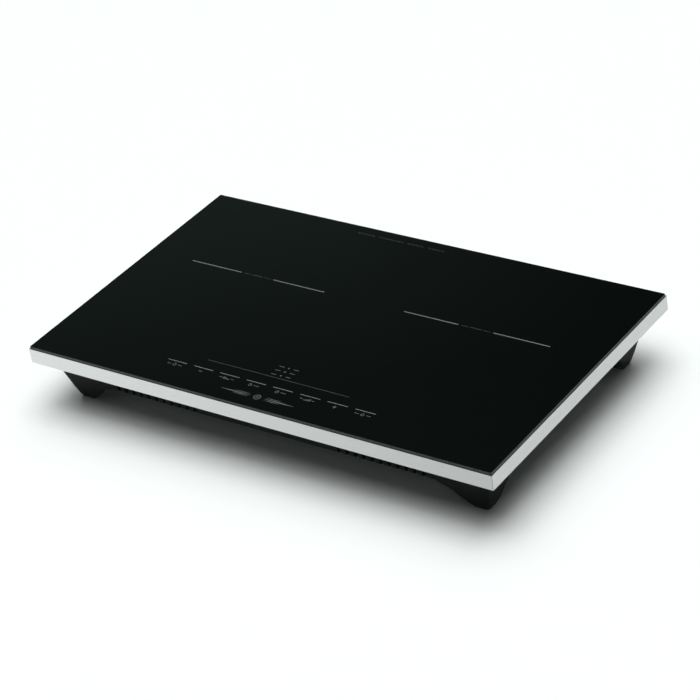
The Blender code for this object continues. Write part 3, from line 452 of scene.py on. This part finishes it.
def mica():
    paint = Surface("mica_sheet", (0.60, 0.55, 0.42), 0.4)
    flakes = paint.cells(260, distance="MANHATTAN")
    paint.colours(flakes, (0.1, (0.66, 0.60, 0.46)), (0.45, (0.54, 0.48, 0.34)), (0.8, (0.44, 0.38, 0.26)))
    paint.vary("Roughness", paint.noise(180, 4.0), 0.25, 0.55)
    paint.bump(flakes, 0.05 * MM, 0.5)
    return paint.material


def wire_sleeve(name, colour):
    paint = Surface(name, colour, 0.45)
    paint.colours(paint.noise(300, 3.0), (0.3, tuple(c * 0.8 for c in colour)), (0.7, colour))
    paint.vary("Roughness", paint.noise(400, 3.0), 0.38, 0.55)
    paint.bump(paint.noise(1200, 2.0), 0.04 * MM, 0.4)
    return paint.material


def ink(name, tone):
    """Ceramic ink, screen printed in fine dots and fired onto the glass."""
    paint = Surface(name, (tone, tone * 1.03, tone), 0.4)
    dots = paint.cells(2600)
    bright = (tone * 1.08, tone * 1.12, tone * 1.09)
    faint = (tone * 0.82, tone * 0.86, tone * 0.84)
    paint.colours(dots, (0.25, bright), (0.75, faint))
    paint.vary("Roughness", paint.noise(500, 2.0), 0.34, 0.5)
    return paint.material


def tinned_metal():
    paint = Surface("tinned_metal", (0.66, 0.67, 0.68), 0.3, 1.0)
    paint.colours(paint.noise(700, 3.0), (0.3, (0.58, 0.59, 0.60)), (0.7, (0.72, 0.73, 0.74)))
    paint.vary("Roughness", paint.noise(900, 3.0), 0.2, 0.4)
    paint.bump(paint.noise(1100, 2.0), 0.05 * MM, 0.5)
    return paint.material


def make_paints():
    return {
        "glass": black_glass(),
        "glass_edge": ground_edge(),
        "rail_x": brushed_aluminium("brushed_along_x", "X"),
        # painted shade: the side rails are the same aluminium as the front and back rails, made darker (tone
        # 0.60) as painted shade on the sides that face away from the light
        "rail_y_painted_shade": brushed_aluminium("brushed_along_y_painted_shade", "Y", 0.60),
        # the tray's underside tone is painted light on its downward faces; the scuffs near the ground are
        # wear
        "tray": moulded_plastic(
            "tray_plastic", (0.0036, 0.0047, 0.0044), 1700, scuffed=0.02, underside=(0.022, 0.024, 0.0235)
        ),
        "rubber": rubber("foot_rubber", (0.012, 0.012, 0.012)),
        "silicone": rubber("seal_silicone", (0.02, 0.02, 0.021)),
        "zinc": zinc_steel(),
        "mill": mill_aluminium(),
        "board": circuit_board(),
        "copper": copper_strands("litz_copper"),
        "enamel": copper_strands("enamelled_copper", (0.70, 0.30, 0.12)),
        "nylon": nylon(),
        "ferrite": ferrite(),
        "mica": mica(),
        "component": moulded_plastic("component_plastic", (0.035, 0.035, 0.04), 2600),
        "fan": moulded_plastic("fan_plastic", (0.022, 0.023, 0.026), 1500),
        "film": moulded_plastic("capacitor_case", (0.50, 0.36, 0.05), 2200),
        "solder": tinned_metal(),
        "sleeve": wire_sleeve("red_sleeve", (0.42, 0.035, 0.025)),
        "sleeve_grey": wire_sleeve("grey_sleeve", (0.30, 0.31, 0.32)),
        "ink": ink("ink_bright", 0.155),
        "ink_dim": ink("ink_dim", 0.055),
        "ink_mark": ink("ink_mark", 0.115),
    }


# ---------------------------------------------------------------- shape tools

def add(obj, paint, body=HOUSING, stands_for=()):
    """Paints a finished piece and hangs it on its body."""
    obj.data.materials.clear()
    obj.data.materials.append(paint)
    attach(obj, body)
    if stands_for:
        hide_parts(*stands_for)


def from_bmesh(name, shape, smooth_angle=None):
    bmesh.ops.recalc_face_normals(shape, faces=shape.faces)
    mesh = bpy.data.meshes.new(name)
    shape.to_mesh(mesh)
    shape.free()
    obj = bpy.data.objects.new(name, mesh)
    bpy.context.scene.collection.objects.link(obj)
    if smooth_angle is not None:
        smooth(obj, smooth_angle)
    return obj


def smooth(obj, angle):
    obj.data.shade_smooth()
    obj.data.set_sharp_from_angle(angle=math.radians(angle))


def circle(cx, cy, radius, count, start=0.0, turn=math.tau):
    """Points on a circle, or on part of one with both ends."""
    whole = abs(turn - math.tau) < 1e-6
    steps = count if whole else count - 1
    angles = [start + turn * i / steps for i in range(count)]
    return [(cx + radius * math.cos(a), cy + radius * math.sin(a)) for a in angles]


def rounded_rect(cx, cy, half_x, half_y, radius, steps=8):
    points = []
    for corner, (sx, sy) in enumerate(((1, 1), (-1, 1), (-1, -1), (1, -1))):
        middle = (cx + sx * (half_x - radius), cy + sy * (half_y - radius))
        points += circle(*middle, radius, steps + 1, corner * math.pi / 2, math.pi / 2)
    return points


def loft(name, loops, smooth_angle=None):
    """A closed skin through loops of 3D points, capped at both ends."""
    shape = bmesh.new()
    rings = [[shape.verts.new(p) for p in loop] for loop in loops]
    for lower, upper in zip(rings, rings[1:]):
        for i in range(len(lower)):
            j = (i + 1) % len(lower)
            shape.faces.new((lower[i], lower[j], upper[j], upper[i]))
    shape.faces.new(rings[0][::-1])
    shape.faces.new(rings[-1])
    return from_bmesh(name, shape, smooth_angle)


def from_curve(curve, name):
    """The surface of a curve, as a bmesh."""
    drawn = bpy.data.objects.new(name, curve)
    bpy.context.scene.collection.objects.link(drawn)
    bpy.context.view_layer.update()
    mesh = bpy.data.meshes.new_from_object(drawn.evaluated_get(bpy.context.evaluated_depsgraph_get()))
    bpy.data.objects.remove(drawn)
    shape = bmesh.new()
    shape.from_mesh(mesh)
    bpy.data.meshes.remove(mesh)
    bmesh.ops.remove_doubles(shape, verts=shape.verts, dist=0.002 * MM)
    return shape


def flat_piece(name, loops, low, high):
    """Flat outlines, with any holes, between two heights."""
    curve = bpy.data.curves.new(name, "CURVE")
    curve.dimensions = "2D"
    curve.fill_mode = "BOTH"
    curve.extrude = (high - low) / 2
    for loop in loops:
        spline = curve.splines.new("POLY")
        spline.points.add(len(loop) - 1)
        for point, (x, y) in zip(spline.points, loop):
            point.co = (x, y, 0, 1)
        spline.use_cyclic_u = True
    shape = from_curve(curve, name)
    bmesh.ops.translate(shape, vec=(0, 0, (low + high) / 2), verts=shape.verts)
    return from_bmesh(name, shape)


def tube(name, points, radius, resolution):
    """A round wire along the points, with closed ends."""
    curve = bpy.data.curves.new(name, "CURVE")
    curve.dimensions = "3D"
    curve.bevel_depth = radius
    curve.bevel_resolution = resolution
    curve.use_fill_caps = True
    spline = curve.splines.new("POLY")
    spline.points.add(len(points) - 1)
    for point, place in zip(spline.points, points):
        point.co = (*place, 1)
    return from_bmesh(name, from_curve(curve, name), 50)


def turned(name, profile, steps=48, smooth_angle=32):
    """A solid of revolution about Z from (radius, height) points; points at radius 0 close it."""
    shape = bmesh.new()
    rings = []
    for radius, height in profile:
        if radius == 0:
            rings.append([shape.verts.new((0, 0, height))])
        else:
            rings.append([shape.verts.new((x, y, height)) for x, y in circle(0, 0, radius, steps)])
    closed = profile[0][0] != 0
    pairs = list(zip(rings, rings[1:] + rings[:1])) if closed else list(zip(rings, rings[1:]))
    for first, second in pairs:
        for i in range(steps):
            j = (i + 1) % steps
            if len(first) == 1:
                shape.faces.new((first[0], second[i], second[j]))
            elif len(second) == 1:
                shape.faces.new((first[i], first[j], second[0]))
            else:
                shape.faces.new((first[i], first[j], second[j], second[i]))
    return from_bmesh(name, shape, smooth_angle)


def settle(obj):
    """Applies an object's modifiers and transform, so that its mesh is final and in place."""
    bpy.context.view_layer.update()
    mesh = bpy.data.meshes.new_from_object(obj.evaluated_get(bpy.context.evaluated_depsgraph_get()))
    mesh.transform(obj.matrix_world)
    obj.modifiers.clear()
    obj.data = mesh
    obj.matrix_world = Matrix.Identity(4)


def cut(obj, tool, operation="DIFFERENCE"):
    """Cuts or joins with a tool, which is used up."""
    change = obj.modifiers.new("cut", "BOOLEAN")
    change.operation = operation
    change.object = tool
    change.solver = "EXACT"
    settle(obj)
    bpy.data.objects.remove(tool)


def rounded(obj, width, segments=2):
    """Rounds a finished piece's sharp edges."""
    bevel = obj.modifiers.new("rounded_edges", "BEVEL")
    bevel.width = width
    bevel.segments = segments
    bevel.limit_method = "ANGLE"
    bevel.angle_limit = math.radians(35)
    obj.data.shade_smooth()
    even = obj.modifiers.new("even_shading", "WEIGHTED_NORMAL")
    even.keep_sharp = True
    return obj


def carry(node, paint, width=0.0, segments=2):
    """Keeps a CAD node's shape, gives it a finish, and rounds its edges by a small width."""
    obj = frame["nodes"][node]
    obj.data.materials.clear()
    obj.data.materials.append(paint)
    custom = obj.data.attributes.get("custom_normal")
    if custom is not None:
        obj.data.attributes.remove(custom)
    if width:
        weld = obj.modifiers.new("whole_skin", "WELD")
        weld.merge_threshold = 0.005 * MM
        flat = obj.modifiers.new("whole_faces", "DECIMATE")
        flat.decimate_type = "DISSOLVE"
        flat.angle_limit = math.radians(0.5)
        rounded(obj, width, segments)


def box_shape(shape, low, high):
    """Adds a box to a bmesh."""
    low, high = Vector(low), Vector(high)
    made = bmesh.ops.create_cube(shape, size=1.0)["verts"]
    bmesh.ops.scale(shape, vec=high - low, verts=made)
    bmesh.ops.translate(shape, vec=(low + high) / 2, verts=made)


def spread(count, pitch, middle=0.0):
    return [middle + (i - (count - 1) / 2) * pitch for i in range(count)]


# ---------------------------------------------------------------- glass and frame

def quarter(radius, steps=5):
    """Steps of a quarter turn as (distance along, distance across) from its start."""
    angles = [i / steps * math.pi / 2 for i in range(steps + 1)]
    return [(radius * math.sin(a), radius * (1 - math.cos(a))) for a in angles]


def make_glass(paints):
    """The glass plate with a rounded, ground edge."""
    middle = (GLASS_LOW + GLASS_HIGH) / 2
    half = (GLASS_HIGH - GLASS_LOW) / 2
    flat = 0.4 * MM
    levels = [(GLASS_BOTTOM_ROUND + flat, GLASS_LOW.z)]
    for along, across in quarter(GLASS_BOTTOM_ROUND):
        levels.append((GLASS_BOTTOM_ROUND - along, GLASS_LOW.z + across))
    for along, across in quarter(GLASS_TOP_ROUND):
        levels.append((across, GLASS_TOP - GLASS_TOP_ROUND + along))
    levels.append((GLASS_TOP_ROUND + flat, GLASS_TOP))
    loops = []
    for inset, height in levels:
        loop = rounded_rect(middle.x, middle.y, half.x - inset, half.y - inset, GLASS_CORNER - inset, 12)
        loops.append([(x, y, height) for x, y in loop])
    glass = loft("glass_top", loops, 25)
    add(glass, paints["glass"], stands_for=["glass_plate"])
    glass.data.materials.append(paints["glass_edge"])
    for face in glass.data.polygons:
        face.material_index = 0 if abs(face.normal.z) > 0.9999 else 1


def make_frame(paints):
    for end in ENDS:
        carry(f"frame_rail_{end}", paints["rail_x"], 0.15 * MM)
    for side in SIDES:
        # the side rails take the aluminium copy with painted shade
        carry(f"frame_rail_{side}", paints["rail_y_painted_shade"], 0.15 * MM)
    for end in ENDS:
        for side in SIDES:
            carry(f"corner_key_{end}_{side}", paints["zinc"], 0.2 * MM)
    carry("glass_seal", paints["silicone"], 0.1 * MM)


# ---------------------------------------------------------------- printed marks

def bar(cx, cy, width, height):
    return [(cx - width / 2, cy - height / 2), (cx + width / 2, cy - height / 2),
            (cx + width / 2, cy + height / 2), (cx - width / 2, cy + height / 2)]


def ring(cx, cy, radius, stroke):
    return [circle(cx, cy, radius + stroke / 2, 28), circle(cx, cy, radius - stroke / 2, 28)]


def arc(cx, cy, radius, stroke, start, turn, count=14):
    """A stroke along part of a circle."""
    outer = circle(cx, cy, radius + stroke / 2, count, start, turn)
    inner = circle(cx, cy, radius - stroke / 2, count, start, turn)
    return outer + inner[::-1]


def humps(cx, cy, count, radius, stroke):
    """A row of half turns, the usual sign for a coil."""
    return [arc(x, cy, radius, stroke, 0, math.pi) for x in spread(count, 2 * radius + stroke * 1.3, cx)]


def wavelet(cx, cy, width, swing, stroke, waves):
    """A thin wavy stroke."""
    count = waves * 10 + 1
    line = []
    for i in range(count):
        share = i / (count - 1)
        line.append((cx + (share - 0.5) * width, cy + swing * math.sin(share * waves * math.tau)))
    upper = [(x, y + stroke / 2) for x, y in line]
    return [(x, y - stroke / 2) for x, y in line] + upper[::-1]


def lozenge(cx, cy, width, height, steps=10):
    """A long thin leaf that tapers to both ends."""
    shares = [i / steps for i in range(steps + 1)]
    top = [(cx + (share - 0.5) * width, cy + height / 2 * math.sin(share * math.pi)) for share in shares]
    bottom = [(x, 2 * cy - y) for x, y in top[1:-1]]
    return top + bottom[::-1]


def power_sign(cx, cy):
    size, stroke = 1.45 * MM, 0.5 * MM
    gap = 0.55
    round_part = arc(cx, cy, size, stroke, math.pi / 2 + gap, math.tau - 2 * gap, 22)
    return [round_part, bar(cx, cy + size, stroke, 1.9 * MM)]


def level_sign(cx, cy, rising):
    """Bars that grow or shrink step by step."""
    loops = []
    for i, x in enumerate(spread(4, 1.9 * MM, cx)):
        height = (0.9 + 0.65 * (i if rising else 3 - i)) * MM
        loops.append(bar(x, cy - 1.5 * MM + height / 2, 1.1 * MM, height))
    return loops


def clock_sign(cx, cy):
    stroke = 0.45 * MM
    long_hand = bar(cx, cy + 0.5 * MM, stroke * 0.9, 1.1 * MM)
    short_hand = bar(cx + 0.62 * MM, cy - 0.22 * MM, 0.95 * MM, stroke * 0.8)
    return [*ring(cx, cy, 1.55 * MM, stroke), long_hand, short_hand]


def key_signs():
    """A small sign under each touch field. From either end inwards: power, minus or plus, level, clock."""
    thin = 0.55 * MM
    loops = []
    for i, x in enumerate(spread(KEYS, KEY_PITCH)):
        kind = min(i, KEYS - 1 - i)
        right_half = i > KEYS / 2
        if kind == 0:
            sign = power_sign(0, 0) + [bar(side * 5.8 * MM, 0, 4.2 * MM, thin) for side in (-1, 1)]
        elif kind == 1:
            sign = [bar(0, 0, 3.6 * MM, 0.7 * MM)]
            if right_half:
                sign += [bar(0, side * 1.05 * MM, 0.7 * MM, 1.4 * MM) for side in (-1, 1)]
        elif kind == 2:
            sign = level_sign(0, 0, right_half)
            sign += [bar(side * 6 * MM, 0, 2.8 * MM, thin) for side in (-1, 1)]
        else:
            sign = clock_sign(-2.9 * MM, 0) + [bar(3.4 * MM, 0, 5.4 * MM, thin)]
        loops += [[(x + SIGN_SCALE * px, SIGN_Y + SIGN_SCALE * py) for px, py in loop] for loop in sign]
    return loops


def indicator_marks():
    """Three short rows in front of the zones, each with a small sign between two dashes."""
    loops = []
    for row, y in enumerate(spread(3, -INDICATOR_PITCH, INDICATOR_Y)):
        loops += [bar(-9.2 * MM, y, 6.8 * MM, 0.7 * MM), bar(9.6 * MM, y, 6.8 * MM, 0.7 * MM)]
        if row == 0:
            loops.append(bar(0, y, 1.5 * MM, 1.5 * MM))
        elif row == 1:
            loops += ring(0, y, 1.2 * MM, 0.5 * MM)
        else:
            loops.append(bar(0, y, 2.6 * MM, 0.6 * MM))
            loops += [bar(0, y + dy * MM, 0.6 * MM, 1.1 * MM) for dy in (0.95, -0.95)]
    return loops


def front_ornament():
    """A plain ornament: a ring of heat waves between two tapering lines."""
    loops = [lozenge(side * 28 * MM, ORNAMENT_Y, 40 * MM, 1.5 * MM) for side in (-1, 1)]
    for side in (-1, 1):
        loops += [lozenge(side * 20 * MM, ORNAMENT_Y + dy * MM, 22 * MM, 0.7 * MM) for dy in (-2.4, 2.4)]
    loops += ring(0, ORNAMENT_Y, 3.9 * MM, 0.7 * MM)
    wave = wavelet(0, 0, 4.2 * MM, 0.35 * MM, 0.55 * MM, 1)
    for dx in (-1.5, 0, 1.5):
        loops.append([(dx * MM - across, ORNAMENT_Y + along) for along, across in wave])
    return loops


def back_marks():
    """Small wavy strokes in groups along the back edge."""
    groups = ((-79, 24, 6), (-45, 34, 9), (-12, 22, 6), (16, 22, 5))
    return [wavelet(x * MM, BACK_Y, width * MM, 1.0 * MM, 0.55 * MM, waves) for x, width, waves in groups]


def print_marks(name, loops, paint):
    marks = flat_piece(name, loops, GLASS_TOP + INK_GAP, GLASS_TOP + INK_GAP + INK_HEIGHT)
    add(marks, paint)


def make_marks(paints):
    zone_lines, zone_signs = [], []
    for sx in SIDES.values():
        for side in (-1, 1):
            zone_lines.append(bar(sx * ZONE_X + side * 57 * MM, ZONE_Y, 70 * MM, 1.3 * MM))
            zone_signs.append(bar(sx * ZONE_X + side * 14 * MM, ZONE_Y, 9 * MM, 0.5 * MM))
        zone_signs += humps(sx * ZONE_X, ZONE_Y - 0.8 * MM, 4, 1.5 * MM, 0.5 * MM)
    print_marks("print_zone_lines", zone_lines, paints["ink"])
    print_marks("print_zone_signs", zone_signs, paints["ink_dim"])
    keys = [bar(x, KEY_Y, 25.5 * MM, 0.95 * MM) for x in spread(KEYS, KEY_PITCH)]
    print_marks("print_touch_fields", keys, paints["ink"])
    print_marks("print_key_signs", key_signs(), paints["ink_mark"])
    print_marks("print_indicators", indicator_marks(), paints["ink_mark"])
    print_marks("print_divider", [bar(-1 * MM, DIVIDER_Y, 184 * MM, 0.6 * MM)], paints["ink_dim"])
    print_marks("print_ornament", front_ornament(), paints["ink_mark"])
    print_marks("print_back_marks", back_marks(), paints["ink_dim"])


# ---------------------------------------------------------------- tray, feet, screws and gland

def make_tray(paints):
    carry("base_tray", paints["tray"], 0.35 * MM)
    for end in ENDS:
        for side in SIDES:
            make_pad(f"foot_pad_{end}_{side}", paints)


def make_pad(node, paints):
    """A rubber pad with rounded edges and shallow grooves underneath."""
    low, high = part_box(node)
    middle = (low + high) / 2
    half = (high - low) / 2
    edge = 0.5 * MM
    corner = 4.3 * MM
    top = high.z - low.z
    levels = [(edge, 0), (edge * 0.3, edge * 0.3), (0, edge), (0, top - edge * 0.4), (edge * 0.4, top)]
    loops = []
    for inset, height in levels:
        loop = rounded_rect(middle.x, middle.y, half.x - inset, half.y - inset, corner - inset)
        loops.append([(x, y, low.z + height) for x, y in loop])
    pad = loft(f"{node}_grooved", loops)
    grooves = bmesh.new()
    deep = 0.35 * MM
    for x in spread(5, 3.4 * MM, middle.x):
        box_shape(grooves, (x - deep, low.y - MM, low.z - MM), (x + deep, high.y + MM, low.z + deep))
    cut(pad, from_bmesh("grooves", grooves))
    smooth(pad, 35)
    add(pad, paints["rubber"], stands_for=[node])


def make_gland(paints):
    """The cord's bushing, with flexing ribs round its nose."""
    low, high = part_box("cord_gland")
    centre_z = (low.z + high.z) / 2
    outer_radius = (high.x - low.x) / 2
    bore, neck = 3.9 * MM, 6.5 * MM
    nose, face, inner = high.y, high.y - 9 * MM, low.y
    profile = [(bore, nose), (bore + 1.3 * MM, nose), (bore + 1.6 * MM, nose - 0.3 * MM)]
    for rib in range(3):
        top = nose - (0.9 + 1.9 * rib) * MM
        out = bore + (1.75 + 0.35 * rib) * MM
        groove = out - 0.7 * MM
        profile += [(out, top), (groove, top - 0.2 * MM)]
        profile += [(groove, top - 0.8 * MM), (out + 0.2 * MM, top - MM)]
    profile += [
        (outer_radius - 0.6 * MM, face + 2.4 * MM),
        (outer_radius, face + 1.8 * MM),
        (outer_radius, face + 0.3 * MM),
        (outer_radius - 0.3 * MM, face),
        (neck, face),
        (neck, inner + 2.5 * MM),
        (8.2 * MM, inner + 2.5 * MM),
        (7.2 * MM, inner),
        (bore, inner),
    ]
    gland = turned("cord_gland_ribbed", profile, 48, 28)
    gland.rotation_euler.x = -math.pi / 2
    gland.location.z = centre_z
    settle(gland)
    add(gland, paints["rubber"], stands_for=["cord_gland"])


def make_screw(node, paints):
    """A pan-head screw with a cross recess, head down."""
    low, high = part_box(node)
    cx, cy = (low.x + high.x) / 2, (low.y + high.y) / 2
    crest, root, pitch = 1.5 * MM, 1.18 * MM, 0.62 * MM
    head, head_top, dome = 3.6 * MM, low.z + 2.5 * MM, 2.3 * MM
    rim = head_top - 0.2 * MM
    profile = [(0, high.z), (1.0 * MM, high.z - 1.1 * MM)]
    for turn in range(9):
        z = high.z - 1.4 * MM - turn * pitch
        profile += [(crest, z), (root, z - pitch / 2)]
    profile += [(crest, head_top), (head - 0.15 * MM, head_top), (head, rim)]
    for i in range(1, 8):
        angle = i / 8 * math.pi / 2
        profile.append((head * math.cos(angle) ** 0.7, rim - dome * math.sin(angle)))
    profile.append((0, low.z))
    screw = turned(f"{node}_crosshead", profile, 32)
    screw.location = (cx, cy, 0)
    settle(screw)
    arm, arm_side = 1.9 * MM, 0.42 * MM
    for half_x, half_y in ((arm, arm_side), (arm_side, arm)):
        loops = []
        for scale, z in ((1.0, low.z - MM), (0.55, low.z + 1.5 * MM)):
            loop = rounded_rect(cx, cy, half_x * scale, half_y * scale, 0.2 * MM * scale, 2)
            loops.append([(x, y, z) for x, y in loop])
        cut(screw, loft("cross_arm", loops))
    smooth(screw, 40)
    add(screw, paints["zinc"], stands_for=[node])


# ---------------------------------------------------------------- cooking zones

def make_zone(side, paints):
    carry(f"{side}_mica_sheet", paints["mica"])
    carry(f"{side}_coil_former", paints["nylon"], 0.3 * MM)
    carry(f"{side}_shield_plate", paints["mill"], 0.15 * MM)
    for number in range(1, 5):
        carry(f"{side}_ferrite_{number}", paints["ferrite"], 0.25 * MM)
    carry(f"{side}_temperature_sensor", paints["silicone"], 0.2 * MM)
    make_winding(side, paints)
    carry(f"{side}_coil_lead", paints["sleeve"])


def make_winding(side, paints):
    """The flat spiral of litz wire, in two layers of turns inside the coil's ring."""
    low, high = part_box(f"{side}_coil")
    middle = (low + high) / 2
    outer, inner = (high.x - low.x) / 2, 24 * MM
    wire = 1.28 * MM
    pitch = 2 * wire + 0.12 * MM
    turns = int((outer - inner - 2 * wire) / pitch)
    per_turn = 40
    for layer, height in (("upper", high.z - wire), ("lower", low.z + wire)):
        points = []
        for i in range(turns * per_turn + 1):
            radius = inner + wire + pitch * i / per_turn
            angle = math.tau * i / per_turn
            points.append((middle.x + radius * math.cos(angle), middle.y + radius * math.sin(angle), height))
        winding = tube(f"{side}_winding_{layer}", points, wire, 1)
        add(winding, paints["copper"], stands_for=[f"{side}_coil"])


# ---------------------------------------------------------------- fans

def make_fan(side, paints):
    carry(f"{side}_fan_frame", paints["fan"], 0.3 * MM)
    low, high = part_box(f"{side}_fan_rotor")
    joint = next(j for j in frame["joints"] if j["name"] == f"{side}_fan_spin")
    axis_x, axis_y, _ = joint["pos_m"]
    hub, bore, cap = 12.5 * MM, 3.1 * MM, 2.4 * MM
    top, floor = high.z + 0.8 * MM, low.z
    profile = [
        (0, top), (hub - 2.2 * MM, top), (hub - 0.8 * MM, top - 0.35 * MM), (hub - 0.2 * MM, top - 1.2 * MM),
        (hub, top - 2 * MM), (hub, floor + 0.3 * MM), (hub - 0.3 * MM, floor), (bore, floor),
        (bore, top - cap), (0, top - cap),
    ]
    rotor = turned(f"{side}_fan_wheel", profile, 56)
    blades = 7
    for blade in range(blades):
        cut(rotor, make_blade(blade * math.tau / blades, (low.z + high.z) / 2), "UNION")
    rotor.location = (axis_x, axis_y, 0)
    settle(rotor)
    smooth(rotor, 38)
    add(rotor, paints["fan"], f"{side}_fan", [f"{side}_fan_rotor"])


def make_blade(turn, height):
    """One swept and twisted blade with a rounded, cambered section, rooted inside the hub."""
    loops = []
    steps = 9
    for i in range(steps + 1):
        share = i / steps
        radius = (10 + 24.3 * share) * MM
        chord = (11.5 + 9.5 * share) * MM
        pitch = math.radians(48 - 23 * share)
        sweep = turn + 0.16 * share**2
        thick = (1.5 - 0.6 * share) * MM
        section = []
        count = 12
        for k in range(count):
            angle = math.tau * k / count
            u = math.cos(angle) * chord / 2
            v = math.sin(angle) * thick / 2 + (1 - (2 * u / chord) ** 2) * chord * 0.06
            y = u * math.cos(pitch) - v * math.sin(pitch)
            z = u * math.sin(pitch) + v * math.cos(pitch)
            section.append(Matrix.Rotation(sweep, 3, "Z") @ Vector((radius, y, height + z * 0.86)))
        loops.append(section)
    return loft("blade", loops)


# ---------------------------------------------------------------- electronics

def make_electronics(paints):
    carry("power_board", paints["board"], 0.15 * MM)
    carry("control_board", paints["board"], 0.15 * MM)
    carry("heatsink", paints["mill"], 0.2 * MM)
    carry("terminal_block", paints["nylon"], 0.4 * MM)
    carry("control_carrier", paints["nylon"], 0.3 * MM)
    carry("touch_strip", paints["silicone"], 0.2 * MM)
    carry("display_module", paints["component"], 0.2 * MM)
    carry("ribbon_cable", paints["sleeve_grey"])
    carry("supply_lead", paints["sleeve_grey"])
    for side in SIDES:
        carry(f"{side}_power_transistor", paints["component"], 0.3 * MM)
        carry(f"{side}_capacitor", paints["film"], 0.6 * MM, 3)
    make_choke(paints)
    make_board_parts(paints)


def make_choke(paints):
    """A ring core with one layer of wire wound round it."""
    low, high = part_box("filter_choke")
    middle = (low + high) / 2
    outer = (high.x - low.x) / 2
    height = (high.z - low.z) / 2
    mean, reach = outer - 6 * MM, 3.9 * MM
    side, end = height - 1.9 * MM, height - 1.2 * MM
    right, left = mean + reach, mean - reach
    core = turned("choke_core", [
        (right, side), (right, -side), (right - MM, -end), (left + MM, -end),
        (left, -side), (left, side), (left + MM, end), (right - MM, end),
    ], 48)
    core.location = middle
    settle(core)
    add(core, paints["ferrite"], stands_for=["filter_choke"])
    turns, per_turn = 26, 14
    points = []
    for i in range(turns * per_turn):
        around = math.tau * 0.93 * i / (turns * per_turn)
        turn = math.tau * i / per_turn
        radius = mean + (reach + 0.9 * MM) * math.cos(turn)
        z = (height - 0.75 * MM) * math.sin(turn)
        points.append(middle + Vector((radius * math.cos(around), radius * math.sin(around), z)))
    winding = tube("choke_winding", points, 0.62 * MM, 1)
    add(winding, paints["enamel"])


def make_board_parts(paints):
    """Small parts on both boards: chips, solder joints and drum capacitors."""
    random.seed(7)
    power_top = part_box("power_board")[1].z
    chips = bmesh.new()
    for x in spread(9, 14 * MM, -125 * MM):
        length, breadth = random.uniform(5, 9) * MM, random.uniform(4, 7) * MM
        y = random.uniform(-141, -136) * MM
        corner = Vector((x - length / 2, y - breadth / 2, power_top))
        box_shape(chips, corner, corner + Vector((length, breadth, 2 * MM)))
    control_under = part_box("control_board")[0].z
    for x in spread(10, 26 * MM):
        corner = Vector((x - 4 * MM, -118 * MM, control_under - 1.6 * MM))
        box_shape(chips, corner, corner + Vector((8 * MM, random.uniform(4, 8) * MM, 1.6 * MM)))
    add(rounded(from_bmesh("board_chips", chips), 0.2 * MM), paints["component"])

    pads = bmesh.new()
    for row in (-148, -131):
        for x in spread(24, 7.5 * MM, -95 * MM):
            size = random.uniform(0.9, 1.5) * MM
            corner = Vector((x - size, (row - 0.6) * MM, power_top))
            box_shape(pads, corner, corner + Vector((2 * size, 1.2 * MM, 0.7 * MM)))
    add(from_bmesh("board_solder_joints", pads), paints["solder"])

    tall, wide = 16 * MM, 7 * MM
    profile = [
        (0, tall), (wide - 0.6 * MM, tall), (wide, tall - 0.6 * MM),
        (wide, 2.6 * MM), (wide - 0.5 * MM, 2.1 * MM), (wide, 1.6 * MM),
        (wide, 0.4 * MM), (wide - 0.4 * MM, 0), (0, 0),
    ]
    for number, x in enumerate(spread(3, 22 * MM, 80 * MM)):
        drum = turned(f"drum_capacitor_{number + 1}", profile, 40)
        drum.location = (x, -134 * MM, power_top + 0.2 * MM)
        settle(drum)
        add(drum, paints["component"])


def main():
    make_camera()
    make_studio()
    paints = make_paints()
    make_glass(paints)
    make_frame(paints)
    make_marks(paints)
    make_tray(paints)
    make_gland(paints)
    for number in range(1, 7):
        make_screw(f"tray_screw_{number}", paints)
    for side in SIDES:
        make_zone(side, paints)
        make_fan(side, paints)
    make_electronics(paints)


main()
